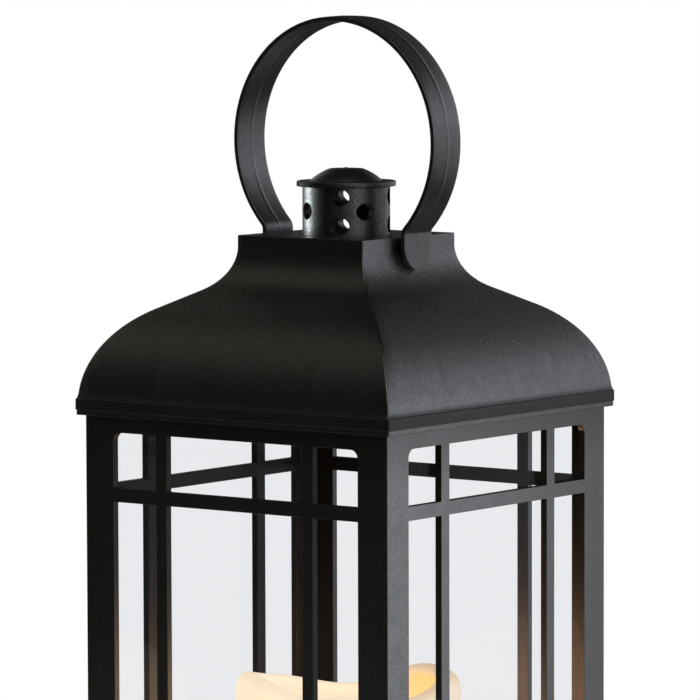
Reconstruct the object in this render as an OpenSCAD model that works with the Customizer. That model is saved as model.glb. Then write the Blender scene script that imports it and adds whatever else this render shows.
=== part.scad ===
// Square lantern table lamp with a battery candle: an ogee roof with a vent and a
// strap ring handle, four mitred window frames with clear panes, and a plinth that
// holds the battery bay and the switch.
// Origin: centre of the underside of the feet. +Z up, -Y front, handle pivots along X.

/* [Body] */
// Width of the square body across the window frames
body_w = 159; // [148:0.5:175]
// Height of the body from the plinth's ledge to the roof's lower edge
body_h = 219; // [190:1:250]
// Width of a corner post on each face
post_w = 15.1; // [12:0.1:18]
// Top rail that shows below the roof
top_rail = 6.8; // [5:0.1:10]
// Bottom rail above the plinth's ledge
bottom_rail = 12; // [9:0.5:16]
// Height of the small lights beside the top and bottom rails
small_light_h = 24.7; // [18:0.1:30]
// Height of a crossbar
crossbar_h = 5.9; // [4:0.1:8]
// Width of a mullion
mullion_w = 5.8; // [4:0.1:8]
// Distance between the centres of the two mullions
mullion_pitch = 77.1; // [70:0.1:84]
// Thickness of a window frame
frame_t = 3.2; // [2.5:0.1:3.6]
// Radius of the four outer corners of the window opening
window_r = 3.8; // [2:0.1:5]
// How far the frames reach up inside the roof
frame_tuck = 6; // [4.5:0.1:6.4]
// Thickness of a clear pane
pane_t = 1.2; // [1:0.1:1.6]
// Play of a pane in its groove, and of the other pieces that slip together
slip = 0.1; // [0.05:0.01:0.15]
// Length of the tongues that key a frame into the plinth
tongue_l = 12; // [8:0.5:16]
// Thickness of those tongues
tongue_t = 1.6; // [1.2:0.1:2]

/* [Roof] */
// How far the roof's lower edge stands out past the body
eave_overhang = 3.3; // [2.8:0.1:5]
// Height of the plateau above the roof's lower edge
roof_h = 75.8; // [70:0.1:82]
// Width of the square neck below the plateau
neck_w = 66.6; // [62:0.1:71]
// Height of the neck's upright sides
neck_h = 4.5; // [4.2:0.1:6]
// Radius of the hollow curve below the neck
cove_r = 21.5; // [18:0.1:24]
// Slope of the roof between its two curves, in degrees
roof_slope = 28.85; // [26:0.05:31]
// Draft of the skirt above the lower edge, in degrees from upright
skirt_draft = 7.65; // [6:0.05:9]
// Height of the drafted skirt between the band and the shoulder curve
skirt_h = 3.9; // [2:0.1:6]
// Height of the upright band round the lower edge
fascia_h = 6.8; // [5:0.1:8.5]
// Step of that band past the skirt
fascia_step = 0.6; // [0.3:0.1:1]
// Height of the narrow lip under the band
lip_h = 2.2; // [1.5:0.1:3]
// Step between the band and the lip
lip_step = 0.35; // [0.2:0.05:0.6]
// Wall of the roof shell
roof_wall = 2; // [1.8:0.1:2.4]
// Thickness of the plateau
deck_t = 1.8; // [1.5:0.1:2]
// Width of a snap hook under the roof
hook_w = 9; // [7:0.5:12]
// Thickness of a snap hook
hook_t = 2; // [1.6:0.1:2.6]
// Distance of the snap hooks from the middle of their side
hook_offset = 41; // [34:0.5:46]
// Reach of a hook's barb
hook_barb = 1.2; // [0.8:0.1:1.5]

/* [Clamp ring] */
// Width of the ring's flange that lies on the frames, measured inwards
flange_w = 13.5; // [12.5:0.1:16]
// Thickness of the flange
flange_t = 2.2; // [1.8:0.1:2.6]
// Thickness of the skirt that holds the panes
ring_skirt_t = 1.6; // [1.2:0.1:2]
// How far that skirt reaches below the roof's lower edge
ring_skirt_drop = 5; // [3:0.1:6]

/* [Vent] */
// Outer diameter of the vent tube
vent_d = 37.6; // [34:0.1:42]
// Wall of the vent tube
vent_wall = 2.6; // [2.4:0.1:3.2]
// Height of the tube between the plateau and the cap
vent_h = 20.5; // [18.5:0.1:26]
// Diameter of a vent hole
vent_hole_d = 7.4; // [5:0.1:8]
// Distance of the vent holes from the middle of their side
vent_hole_side = 8.5; // [7:0.1:9.5]
// Distance between the two holes that stand one above the other
vent_hole_pitch = 12.1; // [11:0.1:13]
// Length of the spigot below the plateau
spigot_l = 5; // [4:0.1:8]
// Thickness of the spigot
spigot_t = 1.4; // [1.2:0.1:1.8]
// Diameter of the cap's brim
cap_d = 42.6; // [42:0.1:50]
// Thickness of the cap's brim
cap_brim_t = 2.3; // [1.8:0.1:3]
// Diameter of the cap's dome
dome_d = 31.2; // [28:0.1:36]
// Diameter of the dome's flat top
dome_top_d = 14.4; // [10:0.1:20]
// Height of the dome above the brim
dome_h = 5.2; // [3:0.1:8]
// Rise of the dome's side over a straight cone, at its middle
dome_crown = 0.5; // [0.2:0.1:1.2]
// Wall of the cap over its hollow
cap_wall = 2; // [1.6:0.1:2.2]
// Diameter of the moulding nub on the dome
nub_d = 1.5; // [1:0.1:3]
// Height of that nub
nub_h = 0.5; // [0.3:0.1:1]

/* [Handle] */
// Outer radius of the ring at the strap's edges
ring_r = 53.2; // [50:0.1:58]
// Height of the ring's centre above the plateau
ring_rise = 39.7; // [37:0.1:43]
// Width of the strap
strap_w = 19.5; // [16:0.1:20.5]
// Thickness of the strap at its edges
strap_t = 2; // [1.6:0.05:2.2]
// Rise of the strap's middle ridge on each face
strap_ridge = 0.3; // [0.1:0.05:0.35]
// Gap between the neck and a handle tab
tab_gap = 2.6; // [2.5:0.05:3.6]
// Radius of the bend between the ring and a tab, on the strap's middle
bend_r = 4; // [3:0.1:6]
// Distance of the pivot below the plateau
pivot_drop = 4.05; // [4:0.05:4.4]
// Diameter of a pivot pin
pin_d = 3.2; // [2.6:0.1:3.3]
// Radial clearance of a pivot pin in the neck
pin_play = 0.05; // [0.03:0.01:0.1]
// Diameter of the bead that keeps a pivot pin in
bead_d = 4; // [3.6:0.1:4.1]
// Length of that bead
bead_l = 1.2; // [0.8:0.1:2]
// Diameter of the hub that spaces a tab off the neck
hub_d = 6.4; // [5:0.1:6.6]
// Gap between the hub and the neck
hub_play = 0.3; // [0.25:0.05:0.5]

/* [Plinth] */
// How far the plinth stands out past the body
plinth_step = 5; // [3.5:0.1:7]
// Height of the frames' ledge above the table
ledge_z = 18; // [17:0.1:22]
// Height of the inner floor above the ledge
floor_rise = 4; // [3.8:0.1:6]
// Thickness of the floor and ledge
floor_t = 2.2; // [1.8:0.1:2.4]
// Thickness of the plinth's side walls
plinth_wall = 2.4; // [2:0.1:3]
// Radius of the cove in the plinth's moulding
plinth_cove_r = 2.6; // [1.5:0.1:3]
// Height of the plinth's upper fillet above its cove
plinth_band_h = 3.6; // [2:0.1:5]
// Height of the low curb that holds the panes, above the floor
curb_h = 1.6; // [1:0.1:2.5]
// Thickness of that curb
curb_t = 1.6; // [1.2:0.1:2]
// Gap between the cover and the table
cover_z = 1.5; // [1.2:0.1:1.8]
// Thickness of the bottom cover
cover_t = 2; // [1.8:0.1:2.4]
// Diameter of a foot pad
foot_d = 14; // [10:0.5:18]
// Depth of a foot pad's recess
foot_recess = 0.5; // [0.3:0.1:0.8]
// Distance of the feet's centres from the plinth's sides
foot_inset = 16.5; // [15:0.5:22]
// Distance of the cover's screws from the plinth's sides
screw_inset = 30.5; // [29:0.5:34]

/* [Fasteners] */
// Diameter of a screw's shaft, without its thread
screw_d = 2.4; // [2:0.1:2.8]
// Diameter of a screw's head
screw_head_d = 5.4; // [4.6:0.1:6]
// Thickness of a screw's head
screw_head_h = 1.3; // [1:0.1:1.5]
// Wall round a screw's pilot hole
boss_wall = 1.8; // [1.4:0.1:2.2]
// Length of a screw below its head
screw_l = 9; // [7:0.5:12]

/* [Batteries] */
// Diameter of a battery
cell_d = 14.5; // [13.8:0.1:14.6]
// Length of a battery with its nub
cell_l = 50.5; // [49:0.1:51]
// Number of batteries
cell_count = 3; // [2:1:3]
// Gap between neighbouring batteries
cell_gap = 0.4; // [0.2:0.1:0.8]
// Room for the springs and contacts at both ends of the batteries
bay_end_room = 5.5; // [5:0.1:7]
// Wall of the battery bay
bay_wall = 2.4; // [2:0.1:3]
// Thickness of the battery door
door_t = 1.8; // [1.5:0.1:2]
// Gap round the battery door
door_gap = 0.3; // [0.2:0.05:0.4]
// Width of the door's rest on the bay's walls
door_rest = 1.1; // [0.8:0.1:1.4]
// Width of a door tongue
door_tongue_w = 6; // [4:0.5:7]
// Reach of a door tongue past the opening's edge
door_tongue_l = 3; // [2:0.1:3.2]
// Thickness of a door tongue
door_tongue_t = 1.4; // [1.2:0.1:1.6]
// Length of the door's screw below its head
door_screw_l = 5.5; // [4:0.5:6]
// Radial gap between the door's screw and its thread's outer diameter
door_screw_play = 0.6; // [0.5:0.05:0.8]
// Thickness of the contact plates
contact_t = 0.3; // [0.2:0.05:0.5]
// Width of a contact plate
contact_w = 10; // [8:0.5:12]
// Diameter of the spring wire
spring_wire_d = 0.6; // [0.4:0.05:0.7]
// Radius of a spring's first turn, on its plate
spring_r = 4.6; // [4:0.1:5]
// Radius of a spring's last turn, on the battery
spring_end_r = 2.6; // [2:0.1:3.5]

/* [Switch] */
// Distance of the switch from the plinth's side
switch_inset = 26.5; // [24:0.5:30]
// Travel of the switch's knob
switch_travel = 5; // [4:0.5:6]
// Length of the knob along its travel
knob_l = 4; // [3:0.1:5]
// Width of the knob
knob_w = 5; // [4:0.1:6]
// Width of the knob's stem
stem_w = 2; // [1.5:0.1:2.5]
// Gap round the knob and its stem
knob_play = 0.4; // [0.3:0.05:0.5]
// Height of the switch's case
switch_h = 5; // [4:0.1:6]

/* [Candle] */
// Diameter of the candle
candle_d = 97; // [90:0.5:102]
// Height of the candle's rim above the floor, on average
candle_h = 99; // [85:1:120]
// Wall of the candle's side
candle_wall = 3; // [2.4:0.1:4]
// Depth of the melted hollow below the rim
hollow_depth = 26; // [20:1:32]
// Radius of the hollow's floor
hollow_r = 27; // [22:0.5:30]
// Thickness of the hollow's floor
hollow_t = 2.5; // [2:0.1:3.5]
// Wave of the rim that rises on two opposite sides
rim_wave_2 = 4.3; // [2:0.1:6]
// Wave of the rim that rises on one side
rim_wave_1 = 3.9; // [1:0.1:5]
// Small wave of the rim: five times round
rim_wave_5 = 0.9; // [0.3:0.1:1.5]
// Thickness of the candle's base disc
base_disc_t = 2.5; // [2:0.1:3]
// Distance of the candle's screws from its axis
candle_screw_r = 40; // [38.5:0.1:41]
// Gap between the heads of those screws and the battery bay
screw_bay_gap = 3; // [1:0.5:5]
// Height of the bosses that the candle's screws bite into
candle_boss_h = 10; // [8:0.5:14]
// Diameter of the lamp
led_d = 5; // [3:0.5:5]
// Diameter of the post that carries the lamp
lamp_post_d = 14; // [12:0.5:16]
// Wall of that post
lamp_post_wall = 2; // [1.5:0.1:2.5]
// Width of the circuit board
board_w = 22; // [18:0.5:24]
// Length of the circuit board
board_l = 30; // [24:0.5:36]
// Thickness of the circuit board
board_t = 1.6; // [1:0.1:2]
// Height of the circuit board above the base disc
board_rise = 6; // [4:0.5:10]
// Diameter of an insulated wire
wire_d = 1.2; // [0.8:0.1:1.6]

/* [Hidden] */
$fn = 64;

// Small overlap that makes cuts pass right through
eps = 0.5;

// Heights
eave_z = ledge_z + body_h;
plateau_z = eave_z + roof_h;
floor_z = ledge_z + floor_rise;
frame_top = eave_z + frame_tuck;
cover_top = cover_z + cover_t;

// Half widths, outside in
body_r = body_w / 2;
eave_r = body_r + eave_overhang;
neck_r = neck_w / 2;
plinth_r = body_r + plinth_step;
foot_pos = plinth_r - foot_inset;
screw_pos = plinth_r - screw_inset;
switch_x = plinth_r - switch_inset;
frame_in = body_r - frame_t;
pane_out = frame_in - slip;
pane_in = pane_out - pane_t;
groove_r = pane_in - slip;

// Roof outline. The shoulder's arc touches the slope and the top of the skirt.
skirt_top = [eave_r - fascia_step - skirt_h * tan(skirt_draft), fascia_h + skirt_h];
cove_c = [neck_r + cove_r, roof_h - neck_h];
slope_normal = 90 - roof_slope;
cove_end = cove_c - cove_r * [cos(slope_normal), sin(slope_normal)];
slope_turn = 90 - skirt_draft - roof_slope;
// Length of the tangent from the skirt's top to where skirt and slope would meet
corner_run = (skirt_top[1] - cove_end[1] + (skirt_top[0] - cove_end[0]) * tan(roof_slope))
    / (-cos(skirt_draft) + sin(skirt_draft) * tan(roof_slope));
shoulder_r = corner_run / tan(slope_turn / 2);
shoulder_c = skirt_top - shoulder_r * [cos(skirt_draft), sin(skirt_draft)];
// How far the skirt runs down inside the band
skirt_lap = 1;

// Snap hooks pass through the clamp ring's flange
flange_in = body_r - flange_w;
hook_in = flange_in + 2.6;
hook_slot_play = 0.3;
hook_shoulder_w = hook_w + 6;

// Vent
vent_r = vent_d / 2;
vent_in = vent_r - vent_wall;
spigot_r = vent_in + spigot_t;
bead_step = 0.3;
plug_l = 4;
plug_t = 1.6;
plug_gap_w = vent_hole_d + 1;
vent_mid = plateau_z + vent_h / 2;

// Handle
tab_in = neck_r + tab_gap;
tab_mid = tab_in + strap_t / 2;
strap_mid_r = ring_r - strap_t / 2;
ring_z = plateau_z + ring_rise;
pivot_z = plateau_z - pivot_drop;
bend_x = tab_mid + bend_r;
bend_drop = sqrt(pow(strap_mid_r + bend_r, 2) - pow(bend_x, 2));
bend_z = ring_z - bend_drop;
bend_angle = atan2(bend_drop, bend_x);
// How far the ring runs into its bends, in degrees
join_angle = 0.4;

// Plinth and cover
seat_gap = 0.3;
tray_r = plinth_r - plinth_wall;
floor_under = floor_z - floor_t;
ledge_under = ledge_z - floor_t;
ledge_r = plinth_r - plinth_cove_r;
cove_top = ledge_z - plinth_band_h;
screw_boss_r = screw_d / 2 + boss_wall;
pad_h = 2;

// Battery bay, with the batteries along X
bay_l = cell_l + bay_end_room;
bay_w = cell_count * cell_d + (cell_count + 1) * cell_gap;
bay_x = bay_l / 2;
bay_y = bay_w / 2;
cell_pitch = cell_d + cell_gap;
door_top = cover_z + door_t;
door_x = bay_x + door_rest;
door_y = bay_y + door_rest;
cell_z = door_top + seat_gap + cell_d / 2;
bay_ceiling = cell_z + cell_d / 2 + seat_gap;
ceiling_t = floor_under - slip - bay_ceiling;
cell_ys = [for (i = [0:cell_count - 1]) (i - (cell_count - 1) / 2) * cell_pitch];
tongue_y = cell_count % 2 == 0 ? cell_pitch : cell_pitch / 2;
ear_r = screw_head_d / 2 + 2;
ear_x = door_x + 2.2;
door_boss_r = screw_d / 2 + door_screw_play + boss_wall;
door_boss_h = door_screw_l + 2;
head_room = 0.2;
cell_cap_l = 1;
cell_body_l = cell_l - cell_cap_l;
tongue_slot_top = cover_z + 5.1;
contact_z0 = tongue_slot_top + slip;
contact_z1 = bay_ceiling - 2 * seat_gap;
contact_x = bay_x - contact_t;
wire_exit_z = cell_z + 3;
spring_room = contact_x - cell_l / 2;

// Switch
island_t = 1.5;
pocket_top = cover_z + 2.2;
island_top = pocket_top + island_t;
pocket_l = knob_l + switch_travel + 2 * knob_play;
pocket_w = knob_w + 2 * knob_play;
stem_l = knob_l - 1;
slot_l = stem_l + switch_travel + 2 * knob_play;
slot_w = stem_w + 2 * knob_play;
switch_wall = 1.2;

// Candle
candle_r = candle_d / 2;
rim_z = floor_z + candle_h;
hollow_z = rim_z - hollow_depth;
base_r = candle_r - candle_wall - slip;
disc_top = floor_z + base_disc_t;
// Two of the candle's screws stand in front of the battery bay, this far round from +X and -X
candle_screw_turn = asin((bay_y + bay_wall + screw_head_d / 2 + screw_bay_gap) / candle_screw_r);
post_r = lamp_post_d / 2;
post_top = hollow_z - hollow_t - slip;
board_z = disc_top + board_rise;
board_x0 = post_r + 3;
led_r = led_d / 2;
led_flange_r = led_r + 0.4;
led_flange_h = 1;
led_cap_t = 2;
led_flange_z = post_top - led_cap_t - led_flange_h;
led_tip = hollow_z + 4.5;
// Direction in which the rim rises towards one side, in degrees from +X
rim_turn = -53.4;

// Wires: four of them cross the floor side by side in one hole
wire_r = wire_d / 2;
lead_gap = 1.27;
lane_pitch = 1.5 * wire_d;
wire_hole = [0, -32];
wire_hole_r = 1.5 * lane_pitch + wire_r + 0.6;
pin_rise = 2.5;
pin_pitch = 2.5;

black = "#1c1c1d";
ivory = "#f2e6cc";
clear = [0.88, 0.92, 0.94, 0.25];
metal = "#b9bcc0";

// ---- Shared shapes ----

// Two prisms of one outline, crossed, so that the corners are mitred
module mitred(reach) {
    intersection() {
        rotate([90, 0, 0]) linear_extrude(height = 2 * reach, center = true)
            both_sides() children();
        rotate([90, 0, 90]) linear_extrude(height = 2 * reach, center = true)
            both_sides() children();
    }
}

module both_sides() {
    children();
    mirror([1, 0]) children();
}

module four_sides() {
    for (turn = [0:90:270]) rotate([0, 0, turn]) children();
}

module four_corners(distance) {
    for (x = [-1, 1], y = [-1, 1]) translate([x * distance, y * distance, 0]) children();
}

// Upright block from low to high over a centred rectangle
module block(half_x, half_y, low, high) {
    translate([-half_x, -half_y, low]) cube([2 * half_x, 2 * half_y, high - low]);
}

module rod(radius, low, high) {
    translate([0, 0, low]) cylinder(r = radius, h = high - low);
}

// Screw with a flat head, its head's face at z = 0 and its shaft going up
module screw(length) {
    cylinder(d = screw_head_d, h = screw_head_h);
    rod(screw_d / 2, screw_head_h, screw_head_h + length);
}

function unit(v) = v / norm(v);

// Direction of a path at point i
function heading(path, i) = let (n = len(path) - 1)
    unit((i > 0 ? unit(path[i] - path[i - 1]) : [0, 0, 0])
        + (i < n ? unit(path[i + 1] - path[i]) : [0, 0, 0]));

function square_to(v, t) = unit(v - (v * t) * t);

// Round tube along a path. Its rings carry one direction along, so that it doesn't twist;
// side is that direction at the start.
module tube(path, radius, side, facets = 6) {
    n = len(path);
    sides = [for (i = 0, u = square_to(side, heading(path, 0)); i < n;
        i = i + 1, u = i < n ? square_to(u, heading(path, i)) : u) u];
    rings = [for (i = [0:n - 1]) let (u = sides[i], v = cross(heading(path, i), u))
        for (k = [0:facets - 1])
            path[i] + radius * (cos(360 * k / facets) * u + sin(360 * k / facets) * v)];
    last = (n - 1) * facets;
    walls = [for (i = [0:n - 2], k = [0:facets - 1])
        let (a = i * facets + k, b = i * facets + (k + 1) % facets)
        each [[a, b + facets, b], [a, a + facets, b + facets]]];
    ends = [[for (k = [0:facets - 1]) k], [for (k = [facets - 1:-1:0]) last + k]];
    polyhedron(points = rings, faces = concat(walls, ends), convexity = 8);
}

// ---- Roof ----

// Right half of the roof's outline in the plane of half width and height, drawn in by t
module roof_outline(t, top) {
    reach = 2 * shoulder_r;
    skirt_end = shoulder_c + (shoulder_r - t) * [cos(skirt_draft), sin(skirt_draft)];
    slope_start = shoulder_c + (shoulder_r - t) * [cos(slope_normal), sin(slope_normal)];
    slope_end = cove_c - (cove_r + t) * [cos(slope_normal), sin(slope_normal)];
    low = t > 0 ? -eps : fascia_h - skirt_lap;
    foot = [skirt_end[0] + (skirt_end[1] - low) * tan(skirt_draft), low];
    difference() {
        union() {
            polygon([[0, low], foot, skirt_end, shoulder_c, slope_start, slope_end,
                [neck_r - t, cove_c[1]], [neck_r - t, top], [0, top]]);
            intersection() {
                translate(shoulder_c) circle(r = shoulder_r - t, $fn = 128);
                polygon([shoulder_c,
                    shoulder_c + reach * [cos(skirt_draft), sin(skirt_draft)],
                    shoulder_c + reach * [cos(slope_normal), sin(slope_normal)]]);
            }
        }
        translate(cove_c) circle(r = cove_r + t, $fn = 128);
    }
}

module roof_solid() {
    translate([0, 0, eave_z]) mitred(eave_r + 1) roof_outline(0, roof_h);
    block(eave_r, eave_r, eave_z + lip_h, eave_z + fascia_h);
    block(eave_r - lip_step, eave_r - lip_step, eave_z, eave_z + lip_h);
}

// One hook under the roof, on the +X side
module hook_blank() {
    translate([hook_in, -hook_w / 2, frame_top - slip - hook_barb])
        cube([hook_t, hook_w, roof_h]);
    translate([hook_in, -hook_shoulder_w / 2, frame_top + flange_t])
        cube([hook_t, hook_shoulder_w, roof_h]);
    // Barb under the flange, pointing inwards
    translate([hook_in, hook_w / 2, frame_top - slip]) rotate([90, 0, 0])
        linear_extrude(height = hook_w)
            polygon([[0, 0], [hook_t, 0], [hook_t, -hook_barb - 1], [0, -hook_barb - 1],
                [-hook_barb, -0.3], [-hook_barb, 0]]);
}

module roof_shell() {
    color(black) difference() {
        union() {
            difference() {
                roof_solid();
                translate([0, 0, eave_z]) mitred(eave_r + 1)
                    roof_outline(roof_wall, roof_h - deck_t);
            }
            intersection() {
                roof_solid();
                four_sides() for (y = [-1, 1]) translate([0, y * hook_offset, 0]) hook_blank();
            }
        }
        // Seat of the vent's spigot
        rod(spigot_r + slip, plateau_z - deck_t - eps, plateau_z + eps);
        // Bores of the handle's pins
        rotate([0, 90, 0]) translate([-pivot_z, 0, 0])
            cylinder(r = pin_d / 2 + pin_play, h = 2 * neck_r + 2, center = true);
    }
}

// ---- Vent ----

module vent_tube() {
    color(black) difference() {
        rotate_extrude() polygon([
            [vent_in, plateau_z - spigot_l], [spigot_r - 0.4, plateau_z - spigot_l],
            [spigot_r + bead_step, plateau_z - deck_t - 1.2],
            [spigot_r + bead_step, plateau_z - deck_t - slip],
            [spigot_r, plateau_z - deck_t - slip], [spigot_r, plateau_z],
            [vent_r, plateau_z], [vent_r, plateau_z + vent_h], [vent_in, plateau_z + vent_h]]);
        // Holes drawn straight out of the mould on four sides: one alone, two in a column
        four_sides() {
            vent_hole(-vent_hole_side, 0);
            for (z = [-1, 1]) vent_hole(vent_hole_side, z * vent_hole_pitch / 2);
        }
    }
}

module vent_hole(x, z) {
    translate([x, 0, vent_mid + z]) rotate([90, 0, 0])
        cylinder(d = vent_hole_d, h = vent_r + 1, $fn = 48);
}

// Side of the dome from its foot to its flat top: a cone that swells a little, as (radius, height)
function dome_side(steps) = let (foot = [dome_d / 2, 0], top = [dome_top_d / 2, dome_h],
        out = unit([dome_h, (dome_d - dome_top_d) / 2]))
    [for (i = [0:steps]) let (f = i / steps)
        foot + f * (top - foot) + 4 * dome_crown * f * (1 - f) * out];

module vent_cap() {
    low = plateau_z + vent_h;
    brim_top = low + cap_brim_t;
    plug_r = vent_in - slip;
    bore_r = plug_r - plug_t;
    color(black) difference() {
        union() {
            rotate_extrude() {
                translate([0, low]) square([cap_d / 2 - 0.5, cap_brim_t]);
                translate([0, low + 0.4]) square([cap_d / 2, cap_brim_t - 0.8]);
                translate([0, brim_top]) polygon(concat(dome_side(10), [[0, dome_h], [0, 0]]));
            }
            rod(nub_d / 2, brim_top + dome_h - eps, brim_top + dome_h + nub_h);
            // Plug that sits in the tube
            rod(plug_r, low - plug_l, low);
        }
        // Hollow of the plug and the dome
        rotate_extrude() polygon([
            [0, low - plug_l - eps], [bore_r, low - plug_l - eps],
            [bore_r, brim_top - cap_wall],
            [dome_top_d / 2 - cap_wall / 2, brim_top + dome_h - cap_wall],
            [0, brim_top + dome_h - cap_wall]]);
        // Gaps that leave the upper holes of the tube open, so that the plug is four lugs
        four_sides() translate([vent_hole_side - plug_gap_w / 2, -vent_r, low - plug_l - eps])
            cube([plug_gap_w, vent_r, plug_l + eps]);
    }
}

// ---- Handle ----

// Section of the strap across its width; out is its radius, turned out or in
module strap_section(radius) {
    half = strap_t / 2;
    polygon([[radius - half, -strap_w / 2], [radius - half - strap_ridge, 0],
        [radius - half, strap_w / 2], [radius + half, strap_w / 2],
        [radius + half + strap_ridge, 0], [radius + half, -strap_w / 2]]);
}

module handle_tab() {
    drop = bend_z - pivot_z;
    intersection() {
        translate([tab_in - 2, 0, pivot_z]) rotate([90, 0, 90])
            linear_extrude(height = strap_t + 4) {
                circle(d = strap_w);
                translate([-strap_w / 2, 0]) square([strap_w, drop]);
            }
        translate([0, 0, pivot_z - strap_w]) linear_extrude(height = strap_w + drop)
            strap_section(tab_mid);
    }
    translate([0, 0, pivot_z]) rotate([0, 90, 0]) {
        rod(hub_d / 2, neck_r + hub_play, tab_mid);
        rod(pin_d / 2, neck_r - roof_wall - slip - bead_l, tab_mid);
        rod(bead_d / 2, neck_r - roof_wall - slip - bead_l, neck_r - roof_wall - slip);
    }
    // Bend from the upright tab into the ring
    translate([bend_x, 0, bend_z]) rotate([90, 0, 0])
        rotate_extrude(angle = bend_angle, start = 180 - bend_angle, $fn = 96)
            strap_section(bend_r);
}

module ring_handle() {
    color(black) {
        translate([0, 0, ring_z]) rotate([90, 0, 0])
            rotate_extrude(angle = 180 + 2 * (bend_angle + join_angle),
                start = -bend_angle - join_angle, $fn = 160) strap_section(strap_mid_r);
        handle_tab();
        mirror([1, 0, 0]) handle_tab();
    }
}

// ---- Window frames ----

module rounded_window(half_w, low, high) {
    for (x = [-1, 1], z = [low + window_r, high - window_r])
        translate([x * (half_w - window_r), z]) circle(r = window_r);
    translate([-half_w, low + window_r]) square([2 * half_w, high - low - 2 * window_r]);
    translate([-half_w + window_r, low]) square([2 * (half_w - window_r), high - low]);
}

// Glazing bars: two mullions and a crossbar near each rail
module glazing_bars(low, high) {
    reach = body_r - post_w / 2;
    for (x = [-1, 1]) translate([x * mullion_pitch / 2 - mullion_w / 2, low])
        square([mullion_w, high - low]);
    for (z = [low + small_light_h, high - small_light_h - crossbar_h])
        translate([-reach, z]) square([2 * reach, crossbar_h]);
}

module window_frame() {
    low = ledge_z + bottom_rail;
    high = eave_z - top_rail;
    color(black) {
        intersection() {
            translate([0, -frame_in, 0]) rotate([90, 0, 0]) linear_extrude(height = frame_t)
                difference() {
                    translate([-body_r, ledge_z]) square([body_w, frame_top - ledge_z]);
                    difference() {
                        rounded_window(body_r - post_w, low, high);
                        glazing_bars(low - 1, high + 1);
                    }
                }
            // Mitres at both ends
            translate([0, 0, ledge_z]) linear_extrude(height = frame_top - ledge_z)
                polygon([[-body_r, -body_r], [body_r, -body_r], [frame_in, -frame_in],
                    [-frame_in, -frame_in]]);
        }
        for (x = [-1, 1]) translate([x * mullion_pitch / 2, -(body_r + frame_in) / 2, 0])
            block(tongue_l / 2, tongue_t / 2, ledge_under, ledge_z);
    }
}

module pane() {
    color(clear) translate([-groove_r, -pane_out, ledge_z + slip])
        cube([2 * groove_r, pane_t, frame_top - ledge_z - 2 * slip]);
}

module front_frame() window_frame();
module right_frame() rotate([0, 0, 90]) window_frame();
module back_frame() rotate([0, 0, 180]) window_frame();
module left_frame() rotate([0, 0, 270]) window_frame();
module front_pane() pane();
module right_pane() rotate([0, 0, 90]) pane();
module back_pane() rotate([0, 0, 180]) pane();
module left_pane() rotate([0, 0, 270]) pane();

// Ring on top of the frames: its skirt holds the panes, its flange takes the roof's hooks
module clamp_ring() {
    color(black) difference() {
        union() {
            block(body_r - slip, body_r - slip, frame_top, frame_top + flange_t);
            block(groove_r, groove_r, eave_z - ring_skirt_drop, frame_top);
        }
        block(flange_in, flange_in, frame_top - eps, frame_top + flange_t + eps);
        block(groove_r - ring_skirt_t, groove_r - ring_skirt_t,
            eave_z - ring_skirt_drop - eps, frame_top);
        four_sides() for (y = [-1, 1])
            translate([hook_in - hook_slot_play, y * hook_offset, 0])
                block_slot(hook_t + 2 * hook_slot_play, hook_w / 2 + hook_slot_play);
    }
}

module block_slot(length, half_w) {
    translate([0, -half_w, frame_top - eps]) cube([length, 2 * half_w, flange_t + 2 * eps]);
}

// ---- Plinth ----

// Right half of the plinth's outline: side, cove, upper band and ledge
module plinth_outline() {
    difference() {
        translate([0, cover_z]) square([plinth_r, cove_top + plinth_cove_r - cover_z]);
        translate([plinth_r, cove_top + plinth_cove_r]) circle(r = plinth_cove_r);
    }
    translate([0, cover_z]) square([ledge_r, ledge_z - cover_z]);
}

module plinth() {
    ledge_under_r = groove_r - curb_t;
    color(black) {
        difference() {
            union() {
                mitred(plinth_r + 1) plinth_outline();
                block(groove_r, groove_r, ledge_z - 1, floor_z);
                block(groove_r, groove_r, floor_z - 1, floor_z + curb_h);
            }
            block(tray_r, tray_r, cover_z - eps, ledge_under);
            block(ledge_under_r, ledge_under_r, ledge_under - eps, floor_under);
            block(groove_r - curb_t, groove_r - curb_t, floor_z, floor_z + curb_h + eps);
            // Slots for the frames' tongues
            four_sides() for (x = [-1, 1])
                translate([x * mullion_pitch / 2, -(body_r + frame_in) / 2, 0])
                    block(tongue_l / 2 + slip, tongue_t / 2 + slip, ledge_under - eps,
                        ledge_z + eps);
            // Holes for the candle's screws and for the wires
            candle_screw_places() rod(screw_d / 2 + 0.3, floor_under - eps, floor_z + eps);
            translate([wire_hole[0], wire_hole[1], 0])
                rod(wire_hole_r, floor_under - eps, floor_z + eps);
        }
        // Bosses for the cover's screws
        four_corners(screw_pos) difference() {
            rod(screw_boss_r, cover_top + pad_h + slip, floor_under + 0.2);
            rod(screw_d / 2 + slip / 2, cover_top + pad_h - eps, cover_top + screw_l + 1);
        }
    }
}

module candle_screw_places() {
    for (turn = [90, -candle_screw_turn, 180 + candle_screw_turn])
        rotate([0, 0, turn]) translate([candle_screw_r, 0, 0]) children();
}

// Outline of the battery door: a rectangle with a round ear for its screw
module door_outline(grow) {
    translate([-door_x - grow, -door_y - grow]) square([2 * (door_x + grow), 2 * (door_y + grow)]);
    translate([ear_x, 0]) circle(r = ear_r + grow);
}

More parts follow.
